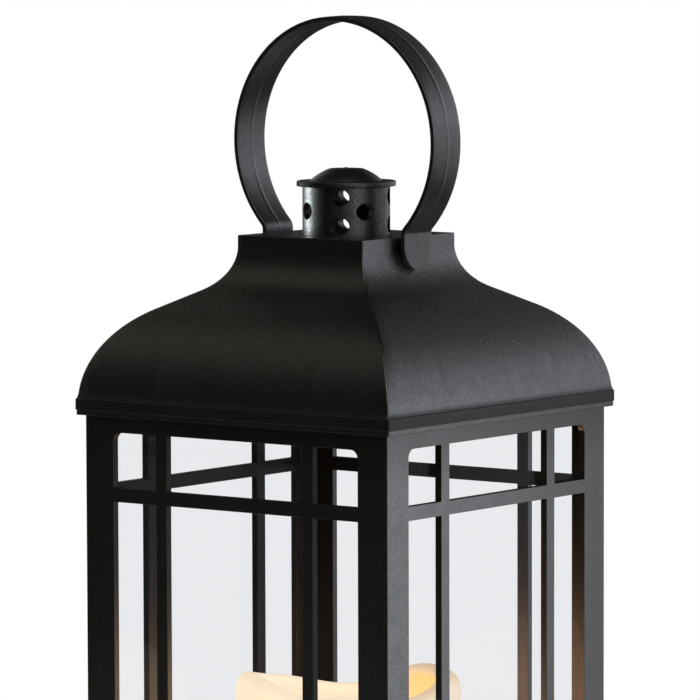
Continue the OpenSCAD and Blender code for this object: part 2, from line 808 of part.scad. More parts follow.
module bottom_cover() {
    plate_r = tray_r - slip;
    bay_out_x = bay_x + bay_wall;
    bay_out_y = bay_y + bay_wall;
    ceiling_top = bay_ceiling + ceiling_t;
    color(black) difference() {
        union() {
            block(plate_r, plate_r, cover_z, cover_top);
            block(bay_out_x, bay_out_y, cover_top - 0.2, ceiling_top);
            four_corners(screw_pos) rod(screw_head_d / 2 + 2, cover_top - eps, cover_top + pad_h);
            translate([ear_x, 0, 0]) rod(door_boss_r, door_top, door_top + door_boss_h + 1.5);
            translate([ear_x, 0, 0]) rod(ear_r + 2, door_top, cover_top + 1);
            translate([switch_x, 0, 0])
                block(pocket_l / 2 + 2, pocket_w / 2 + 2, cover_top - eps, island_top);
        }
        // Door opening, seat and inside of the bay
        translate([0, 0, cover_z - eps]) linear_extrude(height = door_top + eps - cover_z)
            door_outline(door_gap);
        block(bay_x, bay_y, door_top - eps, bay_ceiling);
        // Slots for the door's tongues
        for (y = [-1, 1]) translate([-bay_x - bay_wall / 2, y * tongue_y, 0])
            block(bay_wall, door_tongue_w / 2 + door_gap, cover_top, tongue_slot_top);
        for (y = [-1, 1]) translate([-door_x - door_gap, y * tongue_y - door_tongue_w / 2 - door_gap,
            door_top - eps]) cube([door_x - bay_x + door_gap + eps, door_tongue_w + 2 * door_gap, 2]);
        // Holes for the two battery wires
        for (end = [[-1, 0], [1, cell_count - 1]])
            translate([end[0] * (bay_x + bay_wall / 2), cell_ys[end[1]], wire_exit_z])
                rotate([0, 90, 0]) cylinder(r = wire_r + 0.3, h = bay_wall + 2 * eps, center = true,
                    $fn = 24);
        // Hole for the door's screw, at the outside of its thread
        translate([ear_x, 0, 0])
            rod(screw_d / 2 + door_screw_play, door_top - eps, door_top + door_boss_h);
        // Counterbores and holes for the cover's screws
        four_corners(screw_pos) {
            rod(screw_head_d / 2 + head_room, cover_z - eps, cover_z + screw_head_h + head_room);
            rod(screw_d / 2 + 0.3, cover_z, cover_top + pad_h + eps);
        }
        four_corners(foot_pos) rod(foot_d / 2 + slip, cover_z - eps, cover_z + foot_recess);
        // Switch pocket and slot
        translate([switch_x, 0, 0]) {
            block(pocket_l / 2, pocket_w / 2, cover_z - eps, pocket_top);
            block(slot_l / 2, slot_w / 2, pocket_top - eps, island_top + eps);
        }
    }
}

module feet() {
    color("#3a3a3a") four_corners(foot_pos) rotate_extrude() {
        square([foot_d / 2 - 0.6, cover_z + foot_recess]);
        translate([0, 0.6]) square([foot_d / 2, cover_z + foot_recess - 0.6]);
    }
}

module cover_screws() {
    color(metal) four_corners(screw_pos) translate([0, 0, cover_z + head_room]) screw(screw_l);
}

module battery_door() {
    tongue_low = cover_top + slip;
    groove_pitch = 3;
    color(black) difference() {
        union() {
            translate([0, 0, cover_z]) linear_extrude(height = door_t) door_outline(0);
            for (y = [-1, 1]) translate([0, y * tongue_y - door_tongue_w / 2, 0]) {
                // Riser and tongue that hook behind the cover
                translate([-door_x, 0, door_top - eps])
                    cube([door_tongue_t, door_tongue_w, tongue_low + door_tongue_t - door_top + eps]);
                translate([-door_x - door_tongue_l, 0, tongue_low])
                    cube([door_tongue_l + eps, door_tongue_w, door_tongue_t]);
            }
        }
        translate([ear_x, 0, 0]) {
            rod(screw_head_d / 2 + head_room, cover_z - eps, cover_z + screw_head_h - 0.1);
            rod(screw_d / 2 + 0.05, cover_z, door_top + eps);
        }
        // Finger grooves for lifting the door out
        for (i = [2:5]) translate([door_x - i * groove_pitch, 0, cover_z]) rotate([90, 0, 0])
            cylinder(r = 0.7, h = door_y - groove_pitch, center = true, $fn = 24);
    }
}

module door_screw() {
    color(metal) translate([ear_x, 0, cover_z - 0.1]) screw(door_screw_l);
}

// ---- Batteries ----

module batteries() {
    color("#38424c") for (i = [0:cell_count - 1]) translate([0, cell_ys[i], cell_z])
        rotate([0, i % 2 == 0 ? 90 : -90, 0]) rotate_extrude() {
            translate([0, -cell_l / 2]) square([cell_d / 2 - 0.8, cell_body_l]);
            translate([0, -cell_l / 2 + 0.8]) square([cell_d / 2, cell_body_l - 1.6]);
            translate([0, cell_l / 2 - cell_cap_l - 0.1]) square([2.75, cell_cap_l + 0.1]);
        }
}

// Conical spring from a contact plate to the flat end of a battery
module battery_springs() {
    turns = 3;
    steps = 8;
    color(metal) for (i = [0:cell_count - 1]) translate([0, cell_ys[i], cell_z])
        rotate([0, i % 2 == 0 ? -90 : 90, 0]) {
            gap = spring_room - spring_wire_d;
            tube([for (k = [0:turns * steps]) let (f = k / (turns * steps), a = 360 * k / steps)
                let (r = spring_r + (spring_end_r - spring_r) * f)
                    [r * cos(a), r * sin(a), contact_x - spring_wire_d / 2 - gap * f]],
                spring_wire_d / 2, [0, 0, 1]);
        }
}

// Nickel plates at both ends of the bay; each joins its neighbours in series
module contact_plates() {
    color(metal) for (side = [-1, 1]) {
        for (i = [0:cell_count - 1])
            translate([side > 0 ? contact_x : -bay_x, cell_ys[i] - contact_w / 2, contact_z0])
                cube([contact_t, contact_w, contact_z1 - contact_z0]);
        if (cell_count > 1) {
            first = side > 0 ? 0 : 1;
            translate([side > 0 ? contact_x : -bay_x, cell_ys[first], cell_z + 1])
                cube([contact_t, cell_pitch * min(1, cell_count - 1 - first), 3]);
        }
    }
}

// ---- Switch ----

module switch_case() {
    half_l = slot_l / 2 + switch_wall;
    half_w = slot_w / 2 + switch_wall;
    color(metal) translate([switch_x, 0, 0]) {
        difference() {
            block(half_l, half_w, island_top, island_top + switch_h);
            block(slot_l / 2, slot_w / 2, island_top - eps, island_top + switch_h - 1.2);
        }
        for (i = [-1:1]) translate([pin_pitch * i, 0, 0])
            block(0.4, 0.25, island_top + switch_h - 0.2, island_top + switch_h + pin_rise);
    }
}

module switch_knob() {
    color("#e8e8e6") translate([switch_x - switch_travel / 2, 0, 0]) {
        difference() {
            block(knob_l / 2, knob_w / 2, cover_z + 0.3, pocket_top - 0.2);
            for (i = [-1:1]) translate([i, 0, cover_z + 0.3]) rotate([90, 0, 0])
                cylinder(r = 0.25, h = knob_w + 1, center = true, $fn = 16);
        }
        block(stem_l / 2, stem_w / 2, pocket_top - 0.3, island_top + switch_h - 1.6);
    }
}

// ---- Candle ----

// Height of the melted rim above its average in one direction
function rim_rise(a) = rim_wave_1 * cos(a - rim_turn) - rim_wave_2 * cos(2 * (a - rim_turn))
    + rim_wave_5 * sin(5 * a + 30);

// Section of the candle's wall, lip and hollow at one side, from the outer foot round
function wax_section(rise) = let (z = rim_z + rise, inner = candle_r - candle_wall) [
    [candle_r, floor_z], [candle_r, z - 7], [candle_r - 0.9, z - 3], [candle_r - 3, z - 0.8],
    [candle_r - 5.5, z], [candle_r - 8, z - 1], [candle_r - 10, z - 4],
    [candle_r - 11.5, z - 9], [candle_r - 14.5, z - 16], [hollow_r + 2.5, hollow_z + 2.2],
    [hollow_r - 1.5, hollow_z], [hollow_r - 1.5, hollow_z - hollow_t],
    [hollow_r + 3.5, hollow_z - hollow_t], [candle_r - 15.8, z - 20],
    [candle_r - 13, z - 13], [inner - 3, z - 10], [inner, z - 13], [inner, floor_z]];

module candle_shell() {
    steps = 60;
    ring = [for (i = [0:steps - 1]) let (a = 360 * i / steps) for (p = wax_section(rim_rise(a)))
        [p[0] * cos(a), p[0] * sin(a), p[1]]];
    n = len(wax_section(0));
    color(ivory) {
        polyhedron(points = ring, faces = [for (i = [0:steps - 1], k = [0:n - 1])
            let (a = i * n + k, b = i * n + (k + 1) % n,
                c = ((i + 1) % steps) * n + k, d = ((i + 1) % steps) * n + (k + 1) % n)
            each [[a, b, d], [a, d, c]]], convexity = 10);
        // Floor of the hollow, with a hole for the lamp
        difference() {
            rod(hollow_r - 1, hollow_z - hollow_t, hollow_z);
            rod(led_r + 0.5, hollow_z - hollow_t - eps, hollow_z + eps);
        }
    }
}

module candle_base() {
    color(black) difference() {
        union() {
            rod(base_r, floor_z, disc_top);
            rod(post_r, floor_z, post_top);
            candle_screw_places() rod(screw_boss_r, floor_z, disc_top + candle_boss_h);
            for (x = [board_x0 + 3, board_x0 + board_w - 3]) translate([x, 0, 0])
                rod(2, floor_z, board_z);
        }
        rod(post_r - lamp_post_wall, floor_z - eps, post_top - led_cap_t);
        rod(led_r + slip, post_top - led_cap_t - eps, post_top + eps);
        // Notch that lets the lamp's wires out to the board
        translate([0, -3, board_z - 2]) cube([post_r + 1, 6, 8]);
        candle_screw_places() rod(screw_d / 2 + slip / 2, floor_z - eps, floor_z + screw_l);
        translate([wire_hole[0], wire_hole[1], 0])
            rod(wire_hole_r, floor_z - eps, disc_top + eps);
    }
}

module candle_screws() {
    color(metal) candle_screw_places()
        translate([0, 0, floor_under - screw_head_h]) screw(screw_l);
}

module lamp_led() {
    color([1, 0.72, 0.35, 0.85]) {
        rod(led_flange_r, led_flange_z, led_flange_z + led_flange_h);
        rod(led_r, led_flange_z, led_tip - led_r);
        translate([0, 0, led_tip - led_r]) sphere(r = led_r);
    }
}

module circuit_board() {
    chip = [6, 5, 1.6];
    capacitor_r = 3.1;
    capacitor_h = 7;
    crystal_r = 1.6;
    crystal_h = 4.5;
    top = board_z + board_t;
    color("#1f5a35") translate([board_x0, -board_l / 2, board_z]) cube([board_w, board_l, board_t]);
    color("#111111") {
        translate([board_x0 + 0.27 * board_w, -0.3 * board_l, top]) cube(chip);
        translate([board_x0 + 0.6 * board_w, 0.13 * board_l, 0])
            rod(capacitor_r, top, top + capacitor_h);
        translate([board_x0 + 0.73 * board_w, -0.27 * board_l, 0])
            rod(crystal_r, top, top + crystal_h);
    }
}

// ---- Wires ----

module lamp_wires() {
    top = led_flange_z;
    low = board_z + board_t + wire_r;
    color("#b03028") for (side = [-1, 1]) let (y = side * lead_gap)
        tube([[0, y, top], [0, y, low + 3], [1, y, low + 0.8], [3, y, low],
            [board_x0 + 3, y, low]], wire_r, [0, 1, 0]);
}

// Points of a lane from the board down through the floor's hole, 0 to 3 along X
function lane_points(i) = let (x = wire_hole[0] + (i - 1.5) * lane_pitch,
        board_x = board_x0 + 4 + 3 * i, y = -board_l / 2 + 1.5) [
    [board_x, y, board_z - 0.1], [board_x, y, board_z - 2.5], [board_x, y - 1.5, disc_top + 1.5],
    [x, wire_hole[1] + 3, disc_top + 1.5], [x, wire_hole[1], disc_top - 1],
    [x, wire_hole[1], floor_under - 1.5]];

// Wires from the two free contacts of the bay to the board
module battery_wires() {
    out_x = bay_x + bay_wall;
    y0 = cell_ys[0];
    y1 = cell_ys[cell_count - 1];
    low = floor_under - 3.5;
    color("#b03028") {
        tube(concat(lane_points(0), [[-4.5, wire_hole[1], low], [-out_x - 2, wire_hole[1] + 2, low],
            [-out_x - 3, y0 - 4, low], [-out_x - 2.5, y0, wire_exit_z],
            [-bay_x - 0.1, y0, wire_exit_z]]), wire_r, [1, 0.2, 0]);
        tube(concat(lane_points(3), [[4.5, wire_hole[1] + 2, low],
            [out_x + 4, wire_hole[1] + 3, low], [out_x + 8, wire_hole[1] + 8, low],
            [out_x + 8, y1 - 4, low], [out_x + 5, y1, wire_exit_z],
            [bay_x + 0.1, y1, wire_exit_z]]), wire_r, [1, 0.2, 0]);
    }
}

// Wires from the switch's pins to the board
module switch_wires() {
    pin_z = island_top + switch_h + pin_rise - 0.7;
    color("#222222") for (i = [0:1]) {
        x = switch_x + (i - 1) * pin_pitch;
        y = wire_hole[1] - 2.6 + 2 * (1 - i);
        low = floor_under - 4.2 - 1.4 * i;
        tube(concat(lane_points(2 - i), [[wire_hole[0] + 5, y, low], [switch_x - 14 + 3 * i, y, low],
            [x, -14, pin_z + 1], [x, -4, pin_z], [x, -0.35, pin_z]]), wire_r, [1, 0.2, 0]);
    }
}

roof_shell();
vent_tube();
vent_cap();
ring_handle();
clamp_ring();
front_frame();
right_frame();
back_frame();
left_frame();
front_pane();
right_pane();
back_pane();
left_pane();
plinth();
bottom_cover();
feet();
cover_screws();
battery_door();
door_screw();
batteries();
battery_springs();
contact_plates();
switch_case();
switch_knob();
candle_shell();
candle_base();
candle_screws();
lamp_led();
circuit_board();
lamp_wires();
battery_wires();
switch_wires();
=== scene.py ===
# %% [markdown]
# # A square table lantern, dressed for its portrait
#
# The real object is a lantern moulded in black plastic. A roof with an ogee slope carries a vent
# and a strap ring handle. Four window frames with clear panes stand on a plinth, and a battery
# candle glows inside. The shapes were drawn as solids first, and those solids come in as a fixed
# frame. This notebook gives each of them its surface: softer edges, finer curves and a finish.
#
# Everything is in metres and in the frame's own place, so nothing has to be fitted.

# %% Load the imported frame
import math

import bpy
import numpy as np
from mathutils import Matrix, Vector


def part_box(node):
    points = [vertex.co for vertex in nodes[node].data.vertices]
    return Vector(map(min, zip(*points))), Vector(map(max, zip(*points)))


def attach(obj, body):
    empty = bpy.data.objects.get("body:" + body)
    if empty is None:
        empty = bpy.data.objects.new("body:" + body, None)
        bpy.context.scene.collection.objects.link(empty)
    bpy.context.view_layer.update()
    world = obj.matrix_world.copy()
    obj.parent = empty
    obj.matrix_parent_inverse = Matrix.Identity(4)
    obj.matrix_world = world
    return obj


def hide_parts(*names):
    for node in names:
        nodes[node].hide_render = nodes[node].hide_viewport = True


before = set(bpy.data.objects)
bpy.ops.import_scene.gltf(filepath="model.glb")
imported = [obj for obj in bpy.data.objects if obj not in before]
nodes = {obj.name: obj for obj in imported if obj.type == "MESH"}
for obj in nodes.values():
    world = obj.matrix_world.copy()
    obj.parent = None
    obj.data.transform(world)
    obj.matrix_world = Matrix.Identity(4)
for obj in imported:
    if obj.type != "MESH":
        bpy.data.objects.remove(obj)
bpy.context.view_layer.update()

# %% [markdown]
# ## Sizes
#
# The surfaces below repeat the sizes that the solids were drawn with, in millimetres, because a
# maker's drawing is in millimetres. The last step of making a piece turns them into metres. What
# can be measured on a solid is measured, so that the pieces follow if the solids change.

# %% Sizes that the pieces share, in millimetres
roof_low, roof_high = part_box("roof_shell")
EAVE_Z = roof_low.z * 1000
PLATEAU_Z = roof_high.z * 1000
EAVE_R = roof_high.x * 1000
ROOF_H = PLATEAU_Z - EAVE_Z
NECK_R = 33.3
FRAME_TOP = EAVE_Z + 6.0
FLOOR_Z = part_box("candle_shell")[0].z * 1000
print(f"eave at {EAVE_Z:.1f}, plateau at {PLATEAU_Z:.1f}, floor of the candle at {FLOOR_Z:.1f} mm")

# %% [markdown]
# ## From formulas to meshes
#
# A surface here is a grid of points: rows along one parameter and columns along the other. Numpy
# works out the whole grid at once. A second array holds, for each cell of the grid, the numbers of
# its four corners, and a grid that closes on itself joins its last row or column to its first.
# A tube's end is closed by a fan to one middle point.


# %% Grids and fans
def grid(points, wrap_rows=False, wrap_columns=False):
    """Faces of a grid: cell (i, j) has the corners (i, j), (i+1, j), (i+1, j+1), (i, j+1), where
    i and j go round again at a side that wraps."""
    rows, columns = points.shape[:2]
    i = np.arange(rows if wrap_rows else rows - 1)
    j = np.arange(columns if wrap_columns else columns - 1)
    i, j = np.meshgrid(i, j, indexing="ij")
    down = (i + 1) % rows
    across = (j + 1) % columns
    corners = [i * columns + j, down * columns + j, down * columns + across, i * columns + across]
    return points.reshape(-1, 3), np.stack(corners, -1).reshape(-1, 4)


def outward(points, faces):
    """The same closed surface with its faces turned outward: the volume that the faces enclose,
    the sum of p0 . (p1 x p2) / 6 over their triangles, has to be positive."""
    p = points[faces]
    volume = np.einsum("ij,ij->", p[:, 0], np.cross(p[:, 1], p[:, 2]))
    volume += np.einsum("ij,ij->", p[:, 0], np.cross(p[:, 2], p[:, 3]))
    return (points, faces) if volume > 0 else (points, faces[:, ::-1])


def turned(profile, steps, axis="z", centre=(0.0, 0.0, 0.0)):
    """A turned piece: point (r, h) of the profile goes round the axis at radius r and height h.
    A point with r = 0 is a pole, whose copies are joined when the piece is made."""
    angle = np.linspace(0, 2 * math.pi, steps, endpoint=False)
    radius, height = profile[:, 0, None], profile[:, 1, None]
    u = radius * np.cos(angle)
    v = radius * np.sin(angle)
    h = height + 0 * angle
    order = {"z": (u, v, h), "x": (h, u, v), "y": (v, h, u)}[axis]
    return outward(*grid(np.stack(order, -1) + np.array(centre), wrap_columns=True))


# %% [markdown]
# ## Profiles
#
# A moulded edge is never quite sharp. Each corner of a profile is replaced by a short parabola:
# it leaves one side, bends towards the corner and joins the other side.


# %% Arcs and softened corners
def arc(centre, radius, start, end, steps):
    """Points centre + radius * (cos a, sin a), with a from start to end in degrees."""
    a = np.radians(np.linspace(start, end, steps + 1))
    return np.array(centre) + radius * np.stack([np.cos(a), np.sin(a)], -1)


def softened(points, trim, closed=False, steps=4):
    """A polyline whose corners are parabolas. With s from 0 to 1, a corner p between the points
    a and b, both trim away from it, becomes (1-s)^2 a + 2 s (1-s) p + s^2 b."""
    points = np.asarray(points, float)
    trim = np.broadcast_to(np.asarray(trim, float), len(points))[:, None]
    before = np.roll(points, 1, 0) - points
    after = np.roll(points, -1, 0) - points
    a = points + trim * before / np.maximum(np.linalg.norm(before, axis=1)[:, None], 1e-9)
    b = points + trim * after / np.maximum(np.linalg.norm(after, axis=1)[:, None], 1e-9)
    s = np.linspace(0, 1, steps + 1)[None, :, None]
    curve = (1 - s) ** 2 * a[:, None] + 2 * s * (1 - s) * points[:, None] + s**2 * b[:, None]
    if not closed:
        curve[0] = points[0]
        curve[-1] = points[-1]
        middle = curve[1:-1].reshape(-1, points.shape[1])
        return np.concatenate([points[:1], middle, points[-1:]])
    return curve.reshape(-1, points.shape[1])


def between(a, b, steps):
    """Evenly spaced points from a to b, without the end b."""
    s = np.linspace(0, 1, steps, endpoint=False)[:, None]
    return (1 - s) * np.array(a) + s * np.array(b)


# %% [markdown]
# ## Making a piece
#
# A piece joins its grids into one mesh. Points that lie on each other are merged, which closes
# seams and poles. The faces are shaded smooth, except over edges sharper than 32 degrees.
# Then the piece is told which body it rides on and which finish it has, and its solid is hidden.


# %% From grids to an object
import bmesh

SMOOTH_ANGLE = math.radians(32)
MERGE = 2e-6


def new_object(name, data):
    """An object of the scene for a mesh, a lamp or a camera."""
    obj = bpy.data.objects.new(name, data)
    bpy.context.scene.collection.objects.link(obj)
    return obj


def bare_piece(name, parts):
    """One object at the origin from parts, each (points in millimetres, faces)."""
    starts = np.cumsum([0] + [len(points) for points, faces in parts[:-1]])
    points = np.concatenate([points for points, faces in parts]) / 1000
    faces = np.concatenate([faces + start for (_, faces), start in zip(parts, starts)])
    mesh = bpy.data.meshes.new(name)
    mesh.from_pydata(points.tolist(), [], faces.tolist())
    body = bmesh.new()
    body.from_mesh(mesh)
    bmesh.ops.remove_doubles(body, verts=body.verts, dist=MERGE)
    bmesh.ops.dissolve_degenerate(body, edges=body.edges, dist=MERGE / 2)
    body.to_mesh(mesh)
    body.free()
    return new_object(name, mesh)


def shade_smooth(obj, angle=SMOOTH_ANGLE):
    """Smooth shading that stops at edges sharper than the angle."""
    mesh = obj.data
    mesh.polygons.foreach_set("use_smooth", np.ones(len(mesh.polygons), bool))
    mesh.set_sharp_from_angle(angle=angle)


def settle(obj, material, body, stands_for):
    """Gives a finished piece its material and its body, and hides the solid that it stands for."""
    obj.data.materials.clear()
    obj.data.materials.append(material)
    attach(obj, body)
    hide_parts(stands_for)
    print(f"{obj.name}: {len(obj.data.polygons)} faces, stands for {stands_for}")
    return obj


# %% [markdown]
# Some pieces keep their solid's shape. A solid comes as loose triangles, so a copy of it has its
# equal corners joined first. Then its edges can be rounded, as no moulded or stamped edge is sharp.


# %% Copies of solids
def vertex_points(mesh):
    """The mesh's vertices as an array of (x, y, z) in metres."""
    co = np.empty(len(mesh.vertices) * 3)
    mesh.vertices.foreach_get("co", co)
    return co.reshape(-1, 3)


def corner_vertices(mesh):
    """For each corner of each face, the number of its vertex."""
    index = np.empty(len(mesh.loops), int)
    mesh.loops.foreach_get("vertex_index", index)
    return index


def cad_copy(name, source):
    """A copy of a solid whose loose triangles are joined: corners that agree to a ten thousandth
    of a millimetre become one vertex, and a triangle that has one vertex twice is left out."""
    solid = nodes[source].data
    keys, index = np.unique(np.round(vertex_points(solid), 7), axis=0, return_inverse=True)
    triangles = index.reshape(-1)[corner_vertices(solid).reshape(-1, 3)]
    whole = (triangles != np.roll(triangles, 1, 1)).all(1)
    mesh = bpy.data.meshes.new(name)
    mesh.from_pydata(keys.tolist(), [], triangles[whole].tolist())
    return new_object(name, mesh)


def round_edges(obj, width):
    """Rounds the edges sharper than 32 degrees, width in millimetres."""
    bevel = obj.modifiers.new("soft edges", "BEVEL")
    bevel.width = width / 1000
    bevel.segments = 2
    bevel.limit_method = "ANGLE"
    bevel.angle_limit = SMOOTH_ANGLE
    bevel.harden_normals = True
    bevel.miter_outer = "MITER_ARC"
    shade_smooth(obj)


def moulded_copy(name, source, material, body, edge):
    """A solid's own shape with its edges softened, as a mould's polished corners leave them."""
    obj = cad_copy(name, source)
    round_edges(obj, edge)
    return settle(obj, material, body, source)


# %% [markdown]
# ## The camera
#
# The photograph was taken from a little above the eaves with a long lens: the upright edges are
# parallel and the two sides are seen under 37 and 53 degrees. A fit of the roof's corners and the
# ring gave the direction, the distance and the focal length. The lens looks along its own axis,
# so that no shift is needed.

# %% Camera at the photograph's viewpoint
from mathutils import Matrix, Vector

AZIMUTH = math.radians(36.61)
ELEVATION = math.radians(4.82)
ROLL = math.radians(-0.16)
DISTANCE = 2.254
FOCAL_PIXELS = 5260
IMAGE_PIXELS = 700
SENSOR_WIDTH = 36
SIGHT_END = 200
AIM_HEIGHT = 0.26288
AIM_SIDE = 0.00141

back = Vector((
    math.sin(AZIMUTH) * math.cos(ELEVATION),
    -math.cos(AZIMUTH) * math.cos(ELEVATION),
    math.sin(ELEVATION),
))
right = Vector((math.cos(AZIMUTH), math.sin(AZIMUTH), 0))
up = back.cross(right)
rolled_right = right * math.cos(ROLL) + up * math.sin(ROLL)
rolled_up = up * math.cos(ROLL) - right * math.sin(ROLL)
aim = right * AIM_SIDE + Vector((0, 0, AIM_HEIGHT))

lens = bpy.data.cameras.new("camera")
lens.sensor_width = SENSOR_WIDTH
lens.lens = FOCAL_PIXELS / IMAGE_PIXELS * SENSOR_WIDTH
lens.clip_end = SIGHT_END
camera = new_object("camera", lens)
turn = Matrix((rolled_right, rolled_up, back)).transposed().to_4x4()
camera.matrix_world = Matrix.Translation(aim + back * DISTANCE) @ turn
bpy.context.scene.camera = camera
bpy.context.scene.view_settings.view_transform = "Standard"
print(f"camera {DISTANCE} m away, {lens.lens:.0f} mm lens")

# %% [markdown]
# ## Sums with sockets
#
# A shader is a graph of small nodes. Sums are easier to read as Python, so a small class wraps a
# socket, and each sign between two of them adds one Math node. Python calls the reflected forms
# when the number stands first, as in 1 - mask.


# %% A socket that takes part in sums
class Value:
    """A socket of a node, with the signs + - * and a few functions that add nodes."""

    def __init__(self, recipe, socket):
        self.recipe = recipe
        self.socket = socket

    def math(self, operation, *others):
        """The Math node of that operation on this socket and the others."""
        values = {i: v for i, v in enumerate((self, *others))}
        return self.recipe.node("ShaderNodeMath", {"operation": operation}, values)

    def __add__(self, other):
        return self.math("ADD", other)

    __radd__ = __add__

    def __sub__(self, other):
        return self.math("SUBTRACT", other)

    def __rsub__(self, other):
        return self.recipe.node("ShaderNodeMath", {"operation": "SUBTRACT"}, {0: other, 1: self})

    def __mul__(self, other):
        return self.math("MULTIPLY", other)

    __rmul__ = __mul__

    def size(self):
        """Without its sign."""
        return self.math("ABSOLUTE")

    def highest(self, other):
        """The higher of the two."""
        return self.math("MAXIMUM", other)

    def step(self, low, high):
        """A smooth step: 0 below low, 1 above high."""
        return self.recipe.node(
            "ShaderNodeMapRange",
            {"interpolation_type": "SMOOTHSTEP"},
            {"Value": self, "From Min": low, "From Max": high},
        )


# %% [markdown]
# A recipe holds the nodes of one material or of the world. Every node comes from its method node,
# which takes the node's type, its settings, and the values or links of its sockets. The other
# methods are short names for the nodes that are used most.


# %% Recipes
class Recipe:
    """The nodes of one material or of the world."""

    def __init__(self, tree):
        self.tree = tree
        tree.nodes.clear()

    def node(self, kind, settings=None, inputs=None, output=0):
        """Adds a node: first its settings, then values or links for its sockets, by name or
        number. Gives back one of its outputs."""
        node = self.tree.nodes.new(kind)
        for name, value in (settings or {}).items():
            setattr(node, name, value)
        for name, value in (inputs or {}).items():
            socket = node.inputs[name]
            if isinstance(value, Value):
                self.tree.links.new(value.socket, socket)
            else:
                socket.default_value = value
        return Value(self, node.outputs[output])

    def place(self):
        """The point on the object, in metres."""
        return self.node("ShaderNodeTexCoord", output="Object")

    def parts(self, vector):
        """The three numbers of a vector."""
        return list(self.outputs("ShaderNodeSeparateXYZ", {0: vector}).values())

    def outputs(self, kind, inputs=None):
        """Adds a node and gives back all its outputs, by name."""
        first = self.node(kind, inputs=inputs)
        return {socket.name: Value(self, socket) for socket in first.socket.node.outputs}

    def noise(self, where, scale, detail=2.0, roughness=0.5):
        """Cloudy noise from 0 to 1, with lumps about 1 / scale metres wide."""
        sockets = {"Vector": where, "Scale": scale, "Detail": detail, "Roughness": roughness}
        return self.node("ShaderNodeTexNoise", inputs=sockets)

    def mix(self, share, first, second):
        """Colour between first and second."""
        kind = {"data_type": "RGBA", "clamp_factor": True}
        return self.node("ShaderNodeMix", kind, {0: share, 6: first, 7: second}, output=2)

    def bump(self, height, strength, distance):
        """A normal that leans as if the surface rose by height times distance metres."""
        sockets = {"Height": height, "Strength": strength, "Distance": distance}
        return self.node("ShaderNodeBump", inputs=sockets)

    def surface(self, sockets):
        """A Principled shader, which covers plastic, metal, wax and epoxy alike."""
        return self.node("ShaderNodeBsdfPrincipled", inputs=sockets)

    def between(self, share, first, second):
        """A shader between two others."""
        return self.node("ShaderNodeMixShader", inputs={0: share, 1: first, 2: second})

    def close(self, shader, kind="ShaderNodeOutputMaterial"):
        """Joins the shader to the output."""
        self.tree.links.new(shader.socket, self.tree.nodes.new(kind).inputs["Surface"])


def new_material(name):
    """An empty material and the recipe that fills it."""
    material = bpy.data.materials.new(name)
    material.use_nodes = True
    return material, Recipe(material.node_tree)


def colour(red, green, blue):
    """A colour for a socket, opaque."""
    return (red, green, blue, 1.0)


# %% [markdown]
# ## Light
#
# Black plastic shows its form only by what it mirrors. In the photograph the right sides mirror a
# bright white backdrop behind the lantern on the right, and the front sides mirror a dark room.
# Smaller lights stand on the left, on the front right and high up on both sides. The world holds
# these: white for the camera and through the panes, and for the light on the object a level that
# depends on the direction. Each light is a smooth step on how far a direction points towards it.

# %% World: directions
if bpy.context.scene.world is None:
    bpy.context.scene.world = bpy.data.worlds.new("studio")
world = bpy.context.scene.world
world.use_nodes = True
studio = Recipe(world.node_tree)
direction = studio.node("ShaderNodeTexCoord", output="Generated")


def towards(x, y, z):
    """How far the direction points to (x, y, z), from -1 to 1."""
    inputs = {0: direction, 1: tuple(Vector((x, y, z)).normalized())}
    return studio.node("ShaderNodeVectorMath", {"operation": "DOT_PRODUCT"}, inputs, "Value")


def bounces(recipe):
    """How often a ray has been mirrored or scattered, without its way through clear panes."""
    rays = recipe.outputs("ShaderNodeLightPath")
    return rays["Ray Depth"] - rays["Transmission Depth"]


# %% [markdown]
# The backdrop lies round the direction (0.8, 0.6) and fades out between 14 and 37 degrees above
# the horizon. Light that comes through a pane onto the parts inside is dimmed, so that the bars
# behind the panes stay as black as in the photograph.

# %% World: levels
DARK_ROOM = 0.02
BACKDROP = 1.30
LEFT = 1.10
FRONT_RIGHT = 0.45
HIGH_LEFT = 0.24
HIGH_RIGHT = 2.0
PANE_LOSS = 0.7

x, y, z = studio.parts(direction)
backdrop = (0.80 * x + 0.60 * y).step(0.05, 0.62) * z.step(-0.46, -0.10)
backdrop = backdrop * (1 - z.step(0.24, 0.60)) * (0.66 + 0.34 * z.step(-0.04, 0.20))
left = towards(-0.97, 0.22, 0.0).step(0.72, 0.95)
front_right = towards(0.90, -0.43, 0.0).step(0.70, 0.95)
high_left = towards(-0.62, -0.33, 0.71).step(0.90, 0.99)
high_right = towards(0.45, -0.45, 0.77).step(0.80, 0.95)
level = DARK_ROOM + BACKDROP * backdrop + LEFT * left + FRONT_RIGHT * front_right
level = level + HIGH_LEFT * high_left + HIGH_RIGHT * high_right
rays = studio.outputs("ShaderNodeLightPath")
pane_ray = rays["Is Transmission Ray"]
# The world counts its own ray as one more step
straight = 1 - (bounces(studio) - 1).step(0.2, 0.8)
seen = rays["Is Camera Ray"].highest(pane_ray * straight)
through_pane = pane_ray * (1 - straight)
cast = studio.mix(backdrop, colour(1.0, 0.98, 0.88), colour(0.915, 0.95, 1.09))
studio.close(studio.node("ShaderNodeBackground", inputs={
    "Color": studio.mix(seen, cast, colour(1, 1, 1)),
    "Strength": level * (1 - PANE_LOSS * through_pane) * (1 - seen) + seen,
}), "ShaderNodeOutputWorld")
print(f"world with {len(world.node_tree.nodes)} nodes")

# %% [markdown]
# ## Lamps
#
# In the photograph the right side fades from its near corner to its far one. A backdrop at
# infinity can't do that, so a soft box stands near, behind the lantern on the right. Only the near
# half of that side mirrors it, and only the roof and the frames take it, so that the panes stay
# free of its image. All the lamps here are out of sight of the camera and of the panes.

